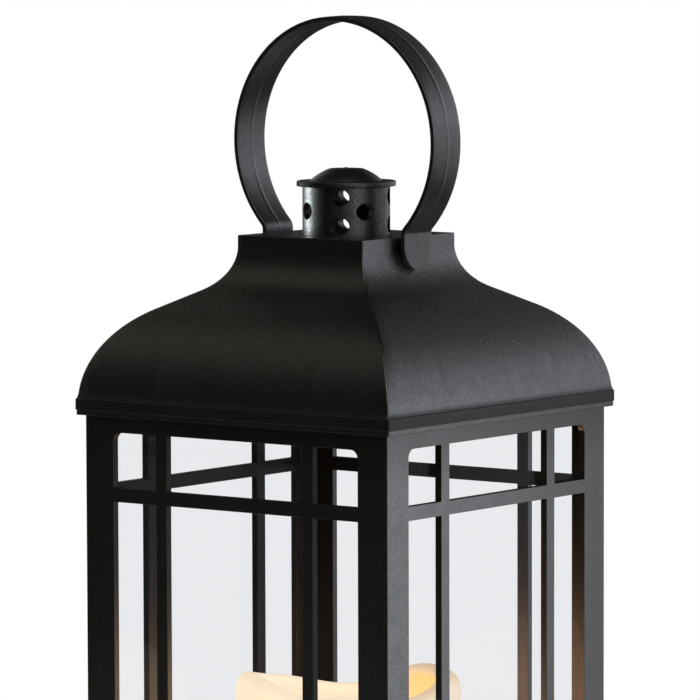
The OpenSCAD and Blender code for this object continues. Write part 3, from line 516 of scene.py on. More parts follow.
# %% Soft box
SOFT_BOX_AT = Vector((0.360, 0.235, 0.150))
SOFT_BOX_AIM = Vector((0.0795, -0.04, 0.19))


def new_lamp(name, kind, place, energy, tint, lit):
    """A lamp that only the objects in the collection lit take. Gives back its settings and its
    object."""
    light = bpy.data.lights.new(name, kind)
    light.energy = energy
    light.color = tint
    lamp = new_object(name, light)
    lamp.location = place
    lamp.visible_camera = False
    lamp.visible_transmission = False
    lamp.light_linking.receiver_collection = lit
    return light, lamp


def new_panel(name, place, facing, size, energy, tint, lit):
    """A rectangular lamp of (width, height) in metres that faces in the direction facing."""
    light, lamp = new_lamp(name, "AREA", place, energy, tint, lit)
    light.shape = "RECTANGLE"
    light.size, light.size_y = size
    lamp.rotation_euler = facing.to_track_quat("-Z", "Y").to_euler()


box_lit = bpy.data.collections.new("lit by the soft box")
new_panel("soft box", SOFT_BOX_AT, SOFT_BOX_AIM - SOFT_BOX_AT, (0.15, 0.26), 0.31,
    (0.91, 0.94, 1.0), box_lit)

# %% [markdown]
# The vent shows a bright strip along its left side and a softer one right of its middle. Two small
# lamps give these, one on the left and one on the front right, and only the vent takes them.

# %% Two lamps for the vent
VENT_MIDDLE = Vector((0, 0, 0.325))
VENT_LAMP_AWAY = 0.45
VENT_LAMPS = (
    ("vent lamp left", Vector((-0.985, -0.17, 0.04)), 1.90),
    ("vent lamp right", Vector((0.89, -0.45, 0.06)), 0.12),
)

vent_lit = bpy.data.collections.new("lit by the vent lamps")
for name, aside, energy in VENT_LAMPS:
    place = VENT_MIDDLE + VENT_LAMP_AWAY * aside
    new_panel(name, place, -aside, (0.07, 0.20), energy, (0.86, 0.95, 1.0), vent_lit)

# %% [markdown]
# The candle is brighter than the picture can show, and the inner sides of the window bars mirror
# it as a warm patch, low down. A round light inside the candle stands for that. Only the bars take
# it and only the bars stop it, so it reaches them through the wax.

# %% Warm light of the lamp
GLOW_H = 68

lamp_lit = bpy.data.collections.new("lit by the lamp")
glow_light, lamp_glow = new_lamp("lamp glow", "POINT", (0, 0, (FLOOR_Z + GLOW_H) / 1000), 0.36,
    (1.0, 0.46, 0.18), lamp_lit)
glow_light.shadow_soft_size = 0.020
lamp_glow.light_linking.blocker_collection = lamp_lit
print(f"lamps: {', '.join(light.name for light in bpy.data.lights)}")

# %% [markdown]
# ## Floor
#
# The floor is a pale round sheet. Near the lantern it is a real surface, which keeps the shadow.
# Farther out it fades into the white backdrop, by a mask that grows with the distance.

# %% Floor
FLOOR_R = 1400
FLOOR_DROP = 0.05
FADE_START = 0.30
FADE_END = 0.64

ring_radii = np.linspace(0, FLOOR_R, 9)
floor_profile = np.stack([ring_radii, 0 * ring_radii - FLOOR_DROP], -1)
floor = bare_piece("floor", [turned(floor_profile, 96)])
floor_material, recipe = new_material("pale floor")
x, y, _ = recipe.parts(recipe.place())
far = (x * x + y * y).math("SQRT").step(FADE_START, FADE_END)
matte = recipe.node("ShaderNodeBsdfDiffuse", inputs={"Color": colour(0.86, 0.86, 0.86)})
white = recipe.node("ShaderNodeEmission", inputs={"Color": colour(1, 1, 1), "Strength": 1.0})
clear = recipe.node("ShaderNodeBsdfTransparent", inputs={"Color": colour(1, 1, 1)})
straight = 1 - bounces(recipe).step(0.2, 0.8)
away = recipe.between(straight, clear, white)
recipe.close(recipe.between(far, matte, away))
floor_material.cycles.emission_sampling = "NONE"
floor.data.materials.append(floor_material)

# %% [markdown]
# ## Black moulded plastic
#
# The lantern's black isn't flat. The mould has a fine grain of half a millimetre to a millimetre,
# which breaks the reflection into tiny sparks. Over centimetres the gloss drifts a little, as
# handling and cooling leave it, and a few pale specks of dust lie on it. So there are two finishes
# of the same black, a glossy one and a hazy one that mirrors less, and noise mixes them: mostly
# from grain to grain, and a little from place to place. The grain is also a bump. The band round
# the roof's edge is made hazy nearly everywhere and the lip under it half so, which makes them
# mirror less and look darker.


# %% Black plastic
LIP_FADE = 0.0002
BAND_FADE = (-0.0012, 0.0042)
BAND_HAZE = 0.93
LIP_HAZE = 0.42
# Haze on the tops of the frames' bars, a painted shade under the eave
EAVE_SHADE_HAZE = 0.42
HAZY_ROUGHER = 0.14
HAZY_MIRROR = 0.2


def moulded_black(name, tone, gloss, grain_depth, dust, haze=0.5, sheen=0.95, dull_band=None,
                  eave_shade_heights=None, seed=0.0):
    """Material of a black moulding. tone is its colour, gloss the roughness, grain_depth the
    height of the grain in metres, dust the share of specks, haze the share of the hazy finish,
    sheen how strongly the glossy finish mirrors, dull_band two heights in metres, and
    eave_shade_heights two heights between which the haze grows, which is painted shade: the part
    above mirrors less."""
    material, recipe = new_material(name)
    where = recipe.place()
    z = recipe.parts(where)[2]
    shift = {0: where, 1: (seed, 2 * seed, 3 * seed)}
    shifted = recipe.node("ShaderNodeVectorMath", {"operation": "ADD"}, shift)
    cloud = recipe.noise(shifted, 28, 3)
    patch = recipe.noise(shifted, 170, 3, 0.6)
    grain = recipe.noise(shifted, 1100, 2, 0.6)
    fine = recipe.noise(shifted, 2600, 1)
    speck = recipe.noise(shifted, 640, 0).step(0.84, 0.90) * dust
    mottle = cloud * 0.55 + patch * 0.45
    deep = colour(*(0.75 * part for part in tone))
    pale = colour(*(1.35 * part for part in tone))
    base = recipe.mix(mottle, deep, pale)
    base = recipe.mix(speck, base, colour(0.09, 0.09, 0.085))
    rough = gloss + 0.16 * (mottle - 0.5) + 0.22 * (grain - 0.5)
    hazy = haze * (patch * 0.3 + grain * 0.7).step(0.36, 0.66) + 0.3 * haze * (cloud - 0.5)
    if dull_band:
        low, high = dull_band
        over_lip = z.step(low, low + LIP_FADE)
        band = over_lip * (1 - z.step(high + BAND_FADE[0], high + BAND_FADE[1]))
        hazy = hazy.highest(band * BAND_HAZE).highest((1 - over_lip) * LIP_HAZE)
        rough = rough + 0.10 * band
    # Painted shade: the tops of the bars, under the eave, are made hazier, so they mirror less
    if eave_shade_heights:
        hazy = hazy.highest(z.step(*eave_shade_heights) * EAVE_SHADE_HAZE)
    shared = {
        "Base Color": base,
        "Normal": recipe.bump(grain * 0.65 + fine * 0.35, 1.0, grain_depth),
        "IOR": 1.5,
    }
    glossy = recipe.surface({**shared, "Roughness": rough, "Specular IOR Level": sheen})
    dull = recipe.surface({**shared, "Roughness": rough + HAZY_ROUGHER,
        "Specular IOR Level": HAZY_MIRROR * sheen})
    recipe.close(recipe.between(hazy, glossy, dull))
    return material


# %% [markdown]
# Each moulding has its own tone and gloss. The four that the photograph shows were set side by
# side with it. The plinth and the parts inside aren't in view there, so they are a plain satin.

# %% The blacks of the lantern
BAND_LOW = 2.2
BAND_HIGH = 6.8

band_heights = ((EAVE_Z + BAND_LOW) / 1000, (EAVE_Z + BAND_HIGH) / 1000)
roof_black = moulded_black("roof black", (0.0038, 0.0037, 0.0028), 0.30, 0.00021, 0.5,
    haze=0.34, sheen=1.0, dull_band=band_heights, seed=0.11)
# The frames' bars get painted shade at their tops, under the eave
frame_black = moulded_black("frame black", (0.0034, 0.0032, 0.0022), 0.33, 0.00013, 0.35,
    haze=0.20, sheen=0.85, eave_shade_heights=(0.205, 0.236), seed=0.37)
vent_black = moulded_black("vent black", (0.0042, 0.0040, 0.0030), 0.36, 0.00013, 0.6,
    haze=0.50, sheen=0.72, seed=0.53)
ring_black = moulded_black("ring black", (0.0046, 0.0046, 0.0042), 0.34, 0.00007, 0.6,
    haze=0.26, sheen=1.0, seed=0.71)
base_black = moulded_black("plinth black", (0.0110, 0.0110, 0.0100), 0.44, 0.00014, 0.4,
    haze=0.4, seed=0.89)
inner_black = moulded_black("inner black", (0.0130, 0.0130, 0.0124), 0.52, 0.00008, 0.0,
    haze=0.5, seed=0.23)
print(f"{len(bpy.data.materials)} materials, six of them black")

# %% [markdown]
# ## Roof
#
# The roof is one shell. Seen from a side its outline is an ogee: a lip, an upright band, a skirt
# with a little draft, a round shoulder, a straight slope, a hollow cove and an upright neck. The
# four sides meet in mitred edges. So the surface is that outline carried round a square with
# slightly rounded corners. The same sweep gives the inner skin, and on the plateau the square
# turns into the round hole for the vent. A mesh made this way has even, long cells along the
# sides, which shade better than the cut solid.

# %% Outline of the roof
FASCIA_H = 6.8
FASCIA_STEP = 0.6
LIP_H = 2.2
LIP_STEP = 0.35
SKIRT_H = 3.9
DRAFT = 7.65
SLOPE = 28.85
COVE_R = 21.5
NECK_H = 4.5
WALL = 2.0
DECK = 1.8
SEAT_R = 17.7
DECK_EDGE = 2

draft = math.radians(DRAFT)
slope = math.radians(SLOPE)
skirt_top = np.array([EAVE_R - FASCIA_STEP - SKIRT_H * math.tan(draft), FASCIA_H + SKIRT_H])
cove_centre = np.array([NECK_R + COVE_R, ROOF_H - NECK_H])
slope_out = np.array([math.sin(slope), math.cos(slope)])
cove_end = cove_centre - COVE_R * slope_out
# The shoulder's arc touches the skirt's top and the slope
run = (skirt_top[1] - cove_end[1] + (skirt_top[0] - cove_end[0]) * math.tan(slope)) / (
    math.sin(draft) * math.tan(slope) - math.cos(draft))
shoulder_r = run / math.tan((math.pi / 2 - draft - slope) / 2)
shoulder_centre = skirt_top - shoulder_r * np.array([math.cos(draft), math.sin(draft)])
print(f"shoulder radius {shoulder_r:.2f} mm")

# %% [markdown]
# The wall's outline is closed. It goes from the lip up the band and the skirt, over the outer
# skin and the deck to the vent's seat, and back along the inner skin, which is the same ogee a
# wall's thickness further in.


# %% Outline of the roof's wall
def ogee(inset, arc_steps):
    """The outline from the skirt's top over the shoulder, the slope and the cove to the neck, a
    distance inset inside the outer skin."""
    shoulder = arc(shoulder_centre, shoulder_r - inset, DRAFT, 90 - SLOPE, arc_steps)
    cove = arc(cove_centre, COVE_R + inset, 270 - SLOPE, 180, arc_steps // 2)
    slope_part = between(shoulder[-1], cove[0], 6)[1:]
    return np.concatenate([shoulder, slope_part, cove])


def roof_profile():
    """The closed outline of the shell's wall, as (half width, height above the lower edge), for
    each point how round its ring is, 0 on the square and 1 on the vent's seat, and the number of
    points on the outer skin, which come first."""
    inner = ogee(WALL, 24)[::-1]
    outer = ogee(0, 40)
    skirt_slope = math.tan(draft)
    foot = [inner[-1][0] + inner[-1][1] * skirt_slope, 0]
    band_top = EAVE_R - FASCIA_STEP + 0.4 * FASCIA_STEP
    lower = softened([
        foot, [EAVE_R - LIP_STEP, 0], [EAVE_R - LIP_STEP, LIP_H - 0.05],
        [EAVE_R - 0.02, LIP_H + 0.05], [EAVE_R, FASCIA_H], [band_top, FASCIA_H + 0.25],
        [EAVE_R - FASCIA_STEP - 1.7 * skirt_slope, FASCIA_H + 1.7], skirt_top,
    ], [0, 0.25, 0.1, 0.15, 0.3, 0.3, 0.5, 0])
    deck_r = NECK_R - DECK_EDGE
    edge = softened([outer[-1], [NECK_R, ROOF_H], [deck_r, ROOF_H]], 0.35)
    share = np.linspace(0, 1, 7)
    deck_top = np.stack([deck_r + (SEAT_R - NECK_R + DECK_EDGE) * share, ROOF_H + 0 * share], -1)
    deck_low = np.stack([SEAT_R + (NECK_R - WALL - SEAT_R) * share, 0 * share + ROOF_H - DECK], -1)
    parts = [lower, outer[1:-1], edge, deck_top[1:], deck_low, inner]
    roundness = [0 * part[:, 0] for part in parts]
    roundness[3:5] = share[1:], 1 - share
    return np.concatenate(parts), np.concatenate(roundness), len(lower) + len(outer) - 2


outline, roundness, outer_points = roof_profile()
print(f"roof outline of {len(outline)} points, {outer_points} of them outside")

# %% [markdown]
# The outline goes round a square whose corners have a small radius. A ring of the sweep is worked
# out from two arrays, a point on a square of half width 1 and the direction outward there, so one
# pair of arrays serves every ring.


# %% Sweep round the square
def round_square(side, corner_steps):
    """Ways round a square. For each of them the point on a square of half width 1 and the
    direction outward there. A ring of half width w with the corner radius r is then
    (w - r) * point + r * direction."""
    turn = np.radians(np.linspace(0, 90, corner_steps + 1))[1:-1]
    point = np.concatenate([np.stack([np.ones_like(side), side], -1), np.ones((len(turn), 2))])
    out = np.concatenate([np.tile([1.0, 0.0], (len(side), 1)),
        np.stack([np.cos(turn), np.sin(turn)], -1)])
    quarter = [np.array([[1, 0], [0, 1]]), np.array([[0, 1], [-1, 0]])]
    quarter += [-quarter[0], -quarter[1]]
    return (np.concatenate([point @ q for q in quarter]),
        np.concatenate([out @ q for q in quarter]))


def swept_square(profile, corner_r, side, corner_steps, roundness, base_z):
    """A profile of (half width, height above base_z) carried round the square. Where roundness
    is 1 the ring is a circle of radius half width, and between 0 and 1 it is a mean of both."""
    point, out = round_square(side, corner_steps)
    w = profile[:, 0, None, None]
    ring = (w - corner_r) * point[None] + corner_r * out[None]
    circle = w * point / np.linalg.norm(point, axis=1)[:, None]
    share = roundness[:, None, None]
    ring = (1 - share) * ring + share * circle
    height = np.broadcast_to(profile[:, 1, None, None] + base_z, ring[..., :1].shape)
    return np.concatenate([ring, height], -1)


MITRE_R = 0.7
MITRE_STEPS = 6
# The columns of the sweep lie closer where the snap hooks are, half way along each half side
near_hooks = 0.5 + np.linspace(-0.09, 0.09, 15)
side_ways = np.unique(np.concatenate([np.linspace(-1, 1, 25), near_hooks, -near_hooks]))
roof_grid = swept_square(outline, MITRE_R, side_ways, MITRE_STEPS, roundness, EAVE_Z)
print("roof grid", roof_grid.shape)

# %% [markdown]
# The plastic shrinks over the thick roots of the snap hooks inside and leaves faint dents in the
# outer skin. A dent is a bell curve along the side, which fades out below and above the root.

# %% Dents over the hooks
HOOK_OFFSET = 41.0
SINK_DEPTH = 0.16
SINK_W = 2.6
SINK_LOW = 7.5
SINK_LOW_FADE = 5
SINK_HIGH = 34
SINK_HIGH_FADE = 14

along = np.minimum(np.abs(roof_grid[..., 0]), np.abs(roof_grid[..., 1]))
height = roof_grid[..., 2] - EAVE_Z
fade = np.clip((height - SINK_LOW) / SINK_LOW_FADE, 0, 1)
fade = fade * np.clip((SINK_HIGH - height) / SINK_HIGH_FADE, 0, 1)
fade[outer_points:] = 0
dent = SINK_DEPTH * np.exp(-(((along - HOOK_OFFSET) / SINK_W) ** 2)) * fade
roof_grid[..., :2] -= dent[..., None] * round_square(side_ways, MITRE_STEPS)[1][None]
print(f"deepest dent {dent.max():.2f} mm")

# %% [markdown]
# Eight snap hooks hang from the roof's inside and clip behind the clamp ring. They are moulded
# with the shell, so they belong to the same piece: each is a small outline with a barb, carried
# over the hook's width and turned by quarter turns to the four sides.


# %% Snap hooks
def extruded(section, low, high):
    """A solid bar: a closed section of (across, height) carried along from low to high. Its two
    ends are closed by rings that shrink to the section's middle."""
    middle = section.mean(0)
    rings = [middle + 0 * section, section, section, middle + 0 * section]
    along = np.array([low, low, high, high])
    across = np.stack([ring[:, 0] for ring in rings])
    height = np.stack([ring[:, 1] for ring in rings])
    return across, np.broadcast_to(along[:, None], across.shape), height


HOOK_W = 9.0
HOOK_T = 2.0
FLANGE_IN = 66.0
HOOK_IN = FLANGE_IN + 2.6
BARB = 1.2
SLIP = 0.1
HOOK_ROOT_H = 32.5
QUARTERS = ((1, 0), (0, 1), (-1, 0), (0, -1))

hook_low = FRAME_TOP - SLIP - BARB - 1
hook_top = EAVE_Z + HOOK_ROOT_H
hook_section = softened([
    [HOOK_IN, hook_top], [HOOK_IN, hook_low + BARB + 1], [HOOK_IN - BARB, hook_low + BARB + 1],
    [HOOK_IN - BARB, hook_low + BARB + 0.7], [HOOK_IN, hook_low], [HOOK_IN + HOOK_T, hook_low],
    [HOOK_IN + HOOK_T, hook_top - 1.5],
], 0.15, closed=True, steps=2)
roof_parts = [outward(*grid(roof_grid, wrap_rows=True, wrap_columns=True))]
for cos, sin in QUARTERS:
    for middle in (-HOOK_OFFSET, HOOK_OFFSET):
        across, along, height = extruded(hook_section, middle - HOOK_W / 2, middle + HOOK_W / 2)
        points = np.stack([cos * across - sin * along, sin * across + cos * along, height], -1)
        roof_parts.append(outward(*grid(points, wrap_columns=True)))
roof = bare_piece("roof", roof_parts)
shade_smooth(roof)
settle(roof, roof_black, "lantern", "roof_shell")
box_lit.objects.link(roof)

# %% [markdown]
# ## Vent
#
# The vent is a tube with round holes, pulled straight out of the mould on four sides, and a
# turned cap. Holes cut through a curved wall are what solids do well, so the tube keeps the
# solid's shape. Its curved walls are cut into thin slivers round the holes, and slivers shade
# badly. So each corner gets the true normal of the tube there: away from the axis on the outer
# wall and towards it on the inner one.

# %% Vent tube
VENT_R = 18.8
VENT_IN = 16.2
ON_WALL = 2e-5
SAME_WAY = 0.96

vent_tube = cad_copy("vent_body", "vent_tube")
shade_smooth(vent_tube)
tube_mesh = vent_tube.data
corner_normal = np.array([corner.vector[:] for corner in tube_mesh.corner_normals])
face_normal = np.repeat([face.normal[:] for face in tube_mesh.polygons], 3, axis=0)
at = vertex_points(tube_mesh)[corner_vertices(tube_mesh)]
radius = np.linalg.norm(at[:, :2], axis=1)
away = at * [1, 1, 0] / np.maximum(radius, 1e-6)[:, None]
leaning = np.einsum("ij,ij->i", away, face_normal)
for wall_r, way in ((VENT_R, 1), (VENT_IN, -1)):
    on_wall = (np.abs(radius - wall_r / 1000) < ON_WALL) & (way * leaning > SAME_WAY)
    corner_normal[on_wall] = way * away[on_wall]
tube_mesh.normals_split_custom_set(corner_normal.tolist())
settle(vent_tube, vent_black, "lantern", "vent_tube")
vent_lit.objects.link(vent_tube)

# %% [markdown]
# The cap is a turned profile: a brim with round edges, a dome that is nearly a cone and joins the
# brim in a small hollow, and the little nub where the plastic came in. It is hollow below.

# %% Vent cap
CAP_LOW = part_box("vent_tube")[1].z * 1000
BRIM_R = 21.3
BRIM_H = 2.3
DOME_R = 15.6
DOME_TOP_R = 7.2
DOME_H = 5.2
CROWN = 0.5
CAP_WALL = 2.0
NUB_R = 0.75
NUB_H = 0.5
PLUG_R = 16.1
PLUG_T = 1.6
PLUG_L = 4.0
PLUG_IN = PLUG_R - PLUG_T

brim_top = CAP_LOW + BRIM_H
dome_top = brim_top + DOME_H
share = np.linspace(0, 1, 15)[:, None]
foot = np.array([DOME_R, brim_top])
crest = np.array([DOME_TOP_R, dome_top])
swell = np.array([DOME_H, DOME_R - DOME_TOP_R]) / math.hypot(DOME_H, DOME_R - DOME_TOP_R)
dome = foot + share * (crest - foot) + 4 * CROWN * share * (1 - share) * swell
cap_profile = np.concatenate([
    softened([
        [0, dome_top - CAP_WALL], [DOME_TOP_R - 1, dome_top - CAP_WALL],
        [PLUG_IN, brim_top - CAP_WALL], [PLUG_IN, CAP_LOW], [BRIM_R, CAP_LOW],
        [BRIM_R, brim_top], [DOME_R + 0.7, brim_top],
    ], [0, 0.5, 0.3, 0.1, 0.6, 0.6, 0], steps=5),
    softened([
        [DOME_R + 0.6, brim_top], [DOME_R - 0.1, brim_top + 0.02], dome[1],
    ], 0.4, steps=4)[1:-1],
    dome[1:-1],
    softened([
        dome[-2], crest, [NUB_R + 0.5, dome_top], [NUB_R, dome_top], [NUB_R, dome_top + NUB_H],
        [0, dome_top + NUB_H],
    ], [0, 0.25, 0, 0.2, 0.2, 0], steps=4)[1:],
])
print(f"cap profile of {len(cap_profile)} points, top at {cap_profile[-1, 1]:.2f} mm")

# %% [markdown]
# The plug under the cap is four lugs, which leave the upper holes of the tube open. A lug is a
# profile carried round only a part of the circle, and closed at its two ends.


# %% Lugs of the cap
def partly_turned(section, start, end, steps):
    """A closed section of (radius, height) carried round the axis from one angle to another, in
    degrees. Its two ends are closed by fans to the section's middle."""
    middle = section.mean(0) + 0 * section
    angle = np.radians(np.concatenate([[start], np.linspace(start, end, steps), [end]]))
    between_ends = np.broadcast_to(section, (steps, *section.shape))
    rings = np.concatenate([middle[None], between_ends, middle[None]])
    radius, height = rings[..., 0], rings[..., 1]
    x = radius * np.cos(angle)[:, None]
    y = radius * np.sin(angle)[:, None]
    return outward(*grid(np.stack([x, y, height], -1), wrap_columns=True))


GAP_HALF_W = 4.2
GAP_AT = 8.5
LUG_SINK = 0.2

lug_section = softened([
    [PLUG_IN, CAP_LOW - PLUG_L], [PLUG_R, CAP_LOW - PLUG_L], [PLUG_R, CAP_LOW + LUG_SINK],
    [PLUG_IN, CAP_LOW + LUG_SINK],
], [0.3, 0.3, 0.05, 0.05], closed=True)
lug_start = math.degrees(math.asin((GAP_AT + GAP_HALF_W) / PLUG_IN))
lug_end = 90 + math.degrees(math.asin((GAP_AT - GAP_HALF_W) / PLUG_R))
cap_parts = [turned(cap_profile, 128)]
for turn_by in (-90, 0, 90, 180):
    cap_parts.append(partly_turned(lug_section, lug_start + turn_by, lug_end + turn_by, 24))
cap = bare_piece("vent_lid", cap_parts)
shade_smooth(cap)
settle(cap, vent_black, "lantern", "vent_cap")

# %% [markdown]
# ## Ring handle
#
# The handle is one strap: a tab with a round end on each side of the neck, a bend, and a ring.
# It is a section carried along a path. Below the pivot the width shrinks as the cosine, which
# makes the tab's end a half circle. Only the right half is worked out, and the left one mirrors it.

# %% Path of the strap
RING_Z = PLATEAU_Z + 39.7
PIVOT_Z = PLATEAU_Z - 4.05
STRAP_R = 52.2
STRAP_W = 19.5
STRAP_T = 2.0
TAB_X = NECK_R + 2.6 + STRAP_T / 2
BEND_R = 4.0
BEND_X = TAB_X + BEND_R
BEND_DROP = math.sqrt((STRAP_R + BEND_R) ** 2 - BEND_X**2)
BEND_Z = RING_Z - BEND_DROP
BEND_ANGLE = math.degrees(math.atan2(BEND_DROP, BEND_X))


def half_path():
    """Middle line of the right half of the strap, from the tab's tip to the ring's top, its
    direction outward, and the width's share at each point."""
    tip = np.radians(np.linspace(90, 0, 13))
    tab_z = PIVOT_Z - STRAP_W / 2 * np.sin(tip)
    straight = np.linspace(PIVOT_Z, BEND_Z, 5)[1:]
    bend = arc((BEND_X, BEND_Z), BEND_R, 180, 180 - BEND_ANGLE, 14)[1:]
    ring = arc((0, RING_Z), STRAP_R, -BEND_ANGLE, 90, 90)[1:]
    tab = np.concatenate([tab_z, straight])
    line = np.concatenate([np.stack([TAB_X + 0 * tab, tab], -1), bend, ring])
    tab_out = np.tile([1.0, 0.0], (len(tab), 1))
    bend_out = (np.array([BEND_X, BEND_Z]) - bend) / BEND_R
    ring_out = (ring - np.array([0, RING_Z])) / STRAP_R
    out = np.concatenate([tab_out, bend_out, ring_out])
    width = np.concatenate([np.cos(tip), np.ones(len(line) - len(tip))])
    return line, out, width


line, out, width = half_path()
line = np.concatenate([line, line[-2::-1] * [-1, 1]])
out = np.concatenate([out, out[-2::-1] * [-1, 1]])
width = np.concatenate([width, width[-2::-1]])
print(f"strap's path of {len(line)} points, top at {line[:, 1].max():.2f} mm")

# %% [markdown]
# The section is 19.5 mm wide with slightly swollen faces and rounded edges. Along their middle runs
# the mould's parting line, a hair thin. The tabs are flat, so the swelling starts over the pivots.

# %% Section of the strap
RIDGE = 0.3
PARTING = 0.05
EDGE_R = 0.4
CROWN_START = 2
CROWN_GROWTH = 10

half = STRAP_T / 2
half_w = STRAP_W / 2
one_side = np.append(np.linspace(-half_w + EDGE_R, -0.24, 7), -0.12)
across = np.concatenate([one_side, -one_side[::-1]])
crown = 1 - (2 * across / STRAP_W) ** 2
line_up = (np.abs(across) < 0.2) * 1.0
edge = softened([
    [half, half_w - EDGE_R], [half, half_w], [-half, half_w], [-half, half_w - EDGE_R],
], [0, EDGE_R, EDGE_R, 0], steps=4)[2:-2]
wide = np.concatenate([across, edge[:, 1], across[::-1], -edge[:, 1]])
thick = np.concatenate([half + 0 * across, edge[:, 0], -half + 0 * across, -edge[:, 0]])
flat_edge = 0 * edge[:, 0]
swell = np.concatenate([crown, flat_edge, -crown, flat_edge]) * (RIDGE - PARTING)
raised = np.concatenate([line_up, flat_edge, -line_up, flat_edge]) * PARTING
crowned = np.clip((line[:, 1, None] - PIVOT_Z - CROWN_START) / CROWN_GROWTH, 0, 1)
depth = thick + crowned * (swell + raised)
strap = np.stack([
    line[:, 0, None] + out[:, 0, None] * depth,
    width[:, None] * wide,
    line[:, 1, None] + out[:, 1, None] * depth,
], -1)
handle_parts = [outward(*grid(strap, wrap_columns=True))]
print(f"strap with {len(handle_parts[0][1])} faces")

# %% [markdown]
# On each side a turned hub stands between the tab and the neck. Its pin goes through the neck's
# wall and ends in a bead, which keeps it there.

# %% Hubs and pins
HUB_R = 3.2
HUB_GAP = 0.3
PIN_R = 1.6
BEAD_R = 2.0
BEAD_L = 1.2

bead_out = NECK_R - WALL - SLIP
hub_profile = softened([
    [0, bead_out - BEAD_L], [BEAD_R, bead_out - BEAD_L], [BEAD_R, bead_out], [PIN_R, bead_out],
    [PIN_R, NECK_R + HUB_GAP], [HUB_R, NECK_R + HUB_GAP], [HUB_R, TAB_X], [0, TAB_X],
], [0, 0.3, 0.1, 0, 0, 0.25, 0, 0], steps=3)
for side in (-1, 1):
    handle_parts.append(turned(hub_profile * [1, side], 48, "x", (0, 0, PIVOT_Z)))
handle = bare_piece("strap_ring", handle_parts)
shade_smooth(handle)
settle(handle, ring_black, "handle", "ring_handle")

# %% [markdown]
# ## Window frames, clamp ring and plinth
#
# These mouldings are flat bars and boxes with many openings. Their solids already have the right
# shape, so each piece is a joined copy whose edges are rounded by 0.2 to 0.3 mm, as the real bars
# show by a thin light line along their corners. The battery door rides on its own body.

# %% Frames, clamp ring, plinth and cover
SIDES = ("front", "right", "back", "left")

for side in SIDES:
    bars = moulded_copy(f"{side}_window_bars", f"{side}_frame", frame_black, "lantern",
        0.25)
    box_lit.objects.link(bars)
    lamp_lit.objects.link(bars)
for name, source, black, body, edge in (
    ("clamp_frame", "clamp_ring", inner_black, "lantern", 0.2),
    ("plinth_tray", "plinth", base_black, "lantern", 0.3),
    ("cover_plate", "bottom_cover", base_black, "lantern", 0.2),
    ("door_plate", "battery_door", base_black, "door", 0.2),
    ("candle_seat", "candle_base", inner_black, "lantern", 0.2),
):
    moulded_copy(name, source, black, body, edge)

# %% [markdown]
# ## Clear panes
#
# The panes are thin clear plastic. Each is a true slab, so light bends in and out of it and both
# faces mirror a little, but less than glass would: in the photograph the bars behind the right
# pane stay black. A pane takes about a tenth of the light, with a cool cast. Shadow rays and light
# for matt surfaces go straight through, as the slab hardly bends them.

# %% Clear panes
pane_clear, recipe = new_material("clear pane")
smear = recipe.noise(recipe.place(), 22, 3)
rays = recipe.outputs("ShaderNodeLightPath")
slab = recipe.surface({
    "Base Color": recipe.mix(smear, colour(0.908, 0.914, 0.926), colour(0.920, 0.926, 0.938)),
    "Roughness": 0.0,
    "IOR": 1.15,
    "Transmission Weight": 1.0,
    "Specular IOR Level": 0.1,
})
through = recipe.node("ShaderNodeBsdfTransparent", inputs={"Color": colour(0.86, 0.87, 0.88)})
soft_ray = rays["Is Shadow Ray"].highest(rays["Is Diffuse Ray"])
recipe.close(recipe.between(soft_ray, slab, through))

for side in SIDES:
    pane = nodes[f"{side}_pane"]
    if not pane.material_slots:
        pane.data.materials.append(pane_clear)
    for material_slot in pane.material_slots:
        material_slot.material = pane_clear
    print(f"{pane.name}: keeps its solid")

# %% [markdown]
# ## Candle
#
# The candle is wax coloured, with a rim that has melted into waves and a hollow in which a small
# lamp glows. Its wall is a section carried round the axis: the outer side, a soft lip, the hollow
# side and the underside. The height of the lip follows three waves, once, twice and five times
# round, with a hump and three dips at places where the photograph shows them.

# %% Rim of the candle
CANDLE_R = 48.5
CANDLE_WALL = 3.0
RIM_Z = FLOOR_Z + 99
HOLLOW_Z = RIM_Z - 26
HOLLOW_R = 27.0
HOLLOW_T = 2.5
RIM_TURN = -53.4
RIM_WAVES = (3.9, 4.3, 0.9)
RIM_PLACES = ((3.8, 84, 32), (-5.4, 357, 36), (-3.0, 288, 20), (-1.6, 220, 22))
LED_R = 2.5


def rim_rise(a):
    """Height of the rim over its average, for the angle a in degrees from +X:
    u cos(a - t) - v cos 2(a - t) + w sin(5 a + 30), with t the rim's turn and u, v and w the
    depths of the three waves."""
    off = np.radians(a - RIM_TURN)
    once, twice, five_times = RIM_WAVES
    fine = five_times * np.sin(np.radians(5 * a + 30))
    return once * np.cos(off) - twice * np.cos(2 * off) + fine


def melted_rise(a):
    """The rim's rise and four places that only the surface has: a hump on the far right and dips
    on the near right, in front and on the left, each height * exp(-((a - place) / width)^2)."""
    extra = 0 * a
    for height, place, width in RIM_PLACES:
        off = (a - place + 180) % 360 - 180
        extra = extra + height * np.exp(-((off / width) ** 2))
    return rim_rise(a) + extra


angles = np.linspace(0, 360, 240, endpoint=False)
rim = RIM_Z + melted_rise(angles)
print(f"rim between {rim.min():.1f} and {rim.max():.1f} mm")

# %% [markdown]
# The wall's section is a chain of 28 points, each of which is a ring round the axis. Some follow
# the rim up and down and some stay level. A smooth curve goes through them along each section. A
# second, finer set of waves near the rim leaves the runs of wax on the outside.


# %% Wall of the candle
OUTER_MIDDLE_Z = 55
INNER_MIDDLE_Z = 60
RUNS = ((0.30, 3, 0.6), (0.22, 7, 1.9), (0.14, 13, 0.4))
RUNS_BELOW = 26
RUNS_FADE = 16


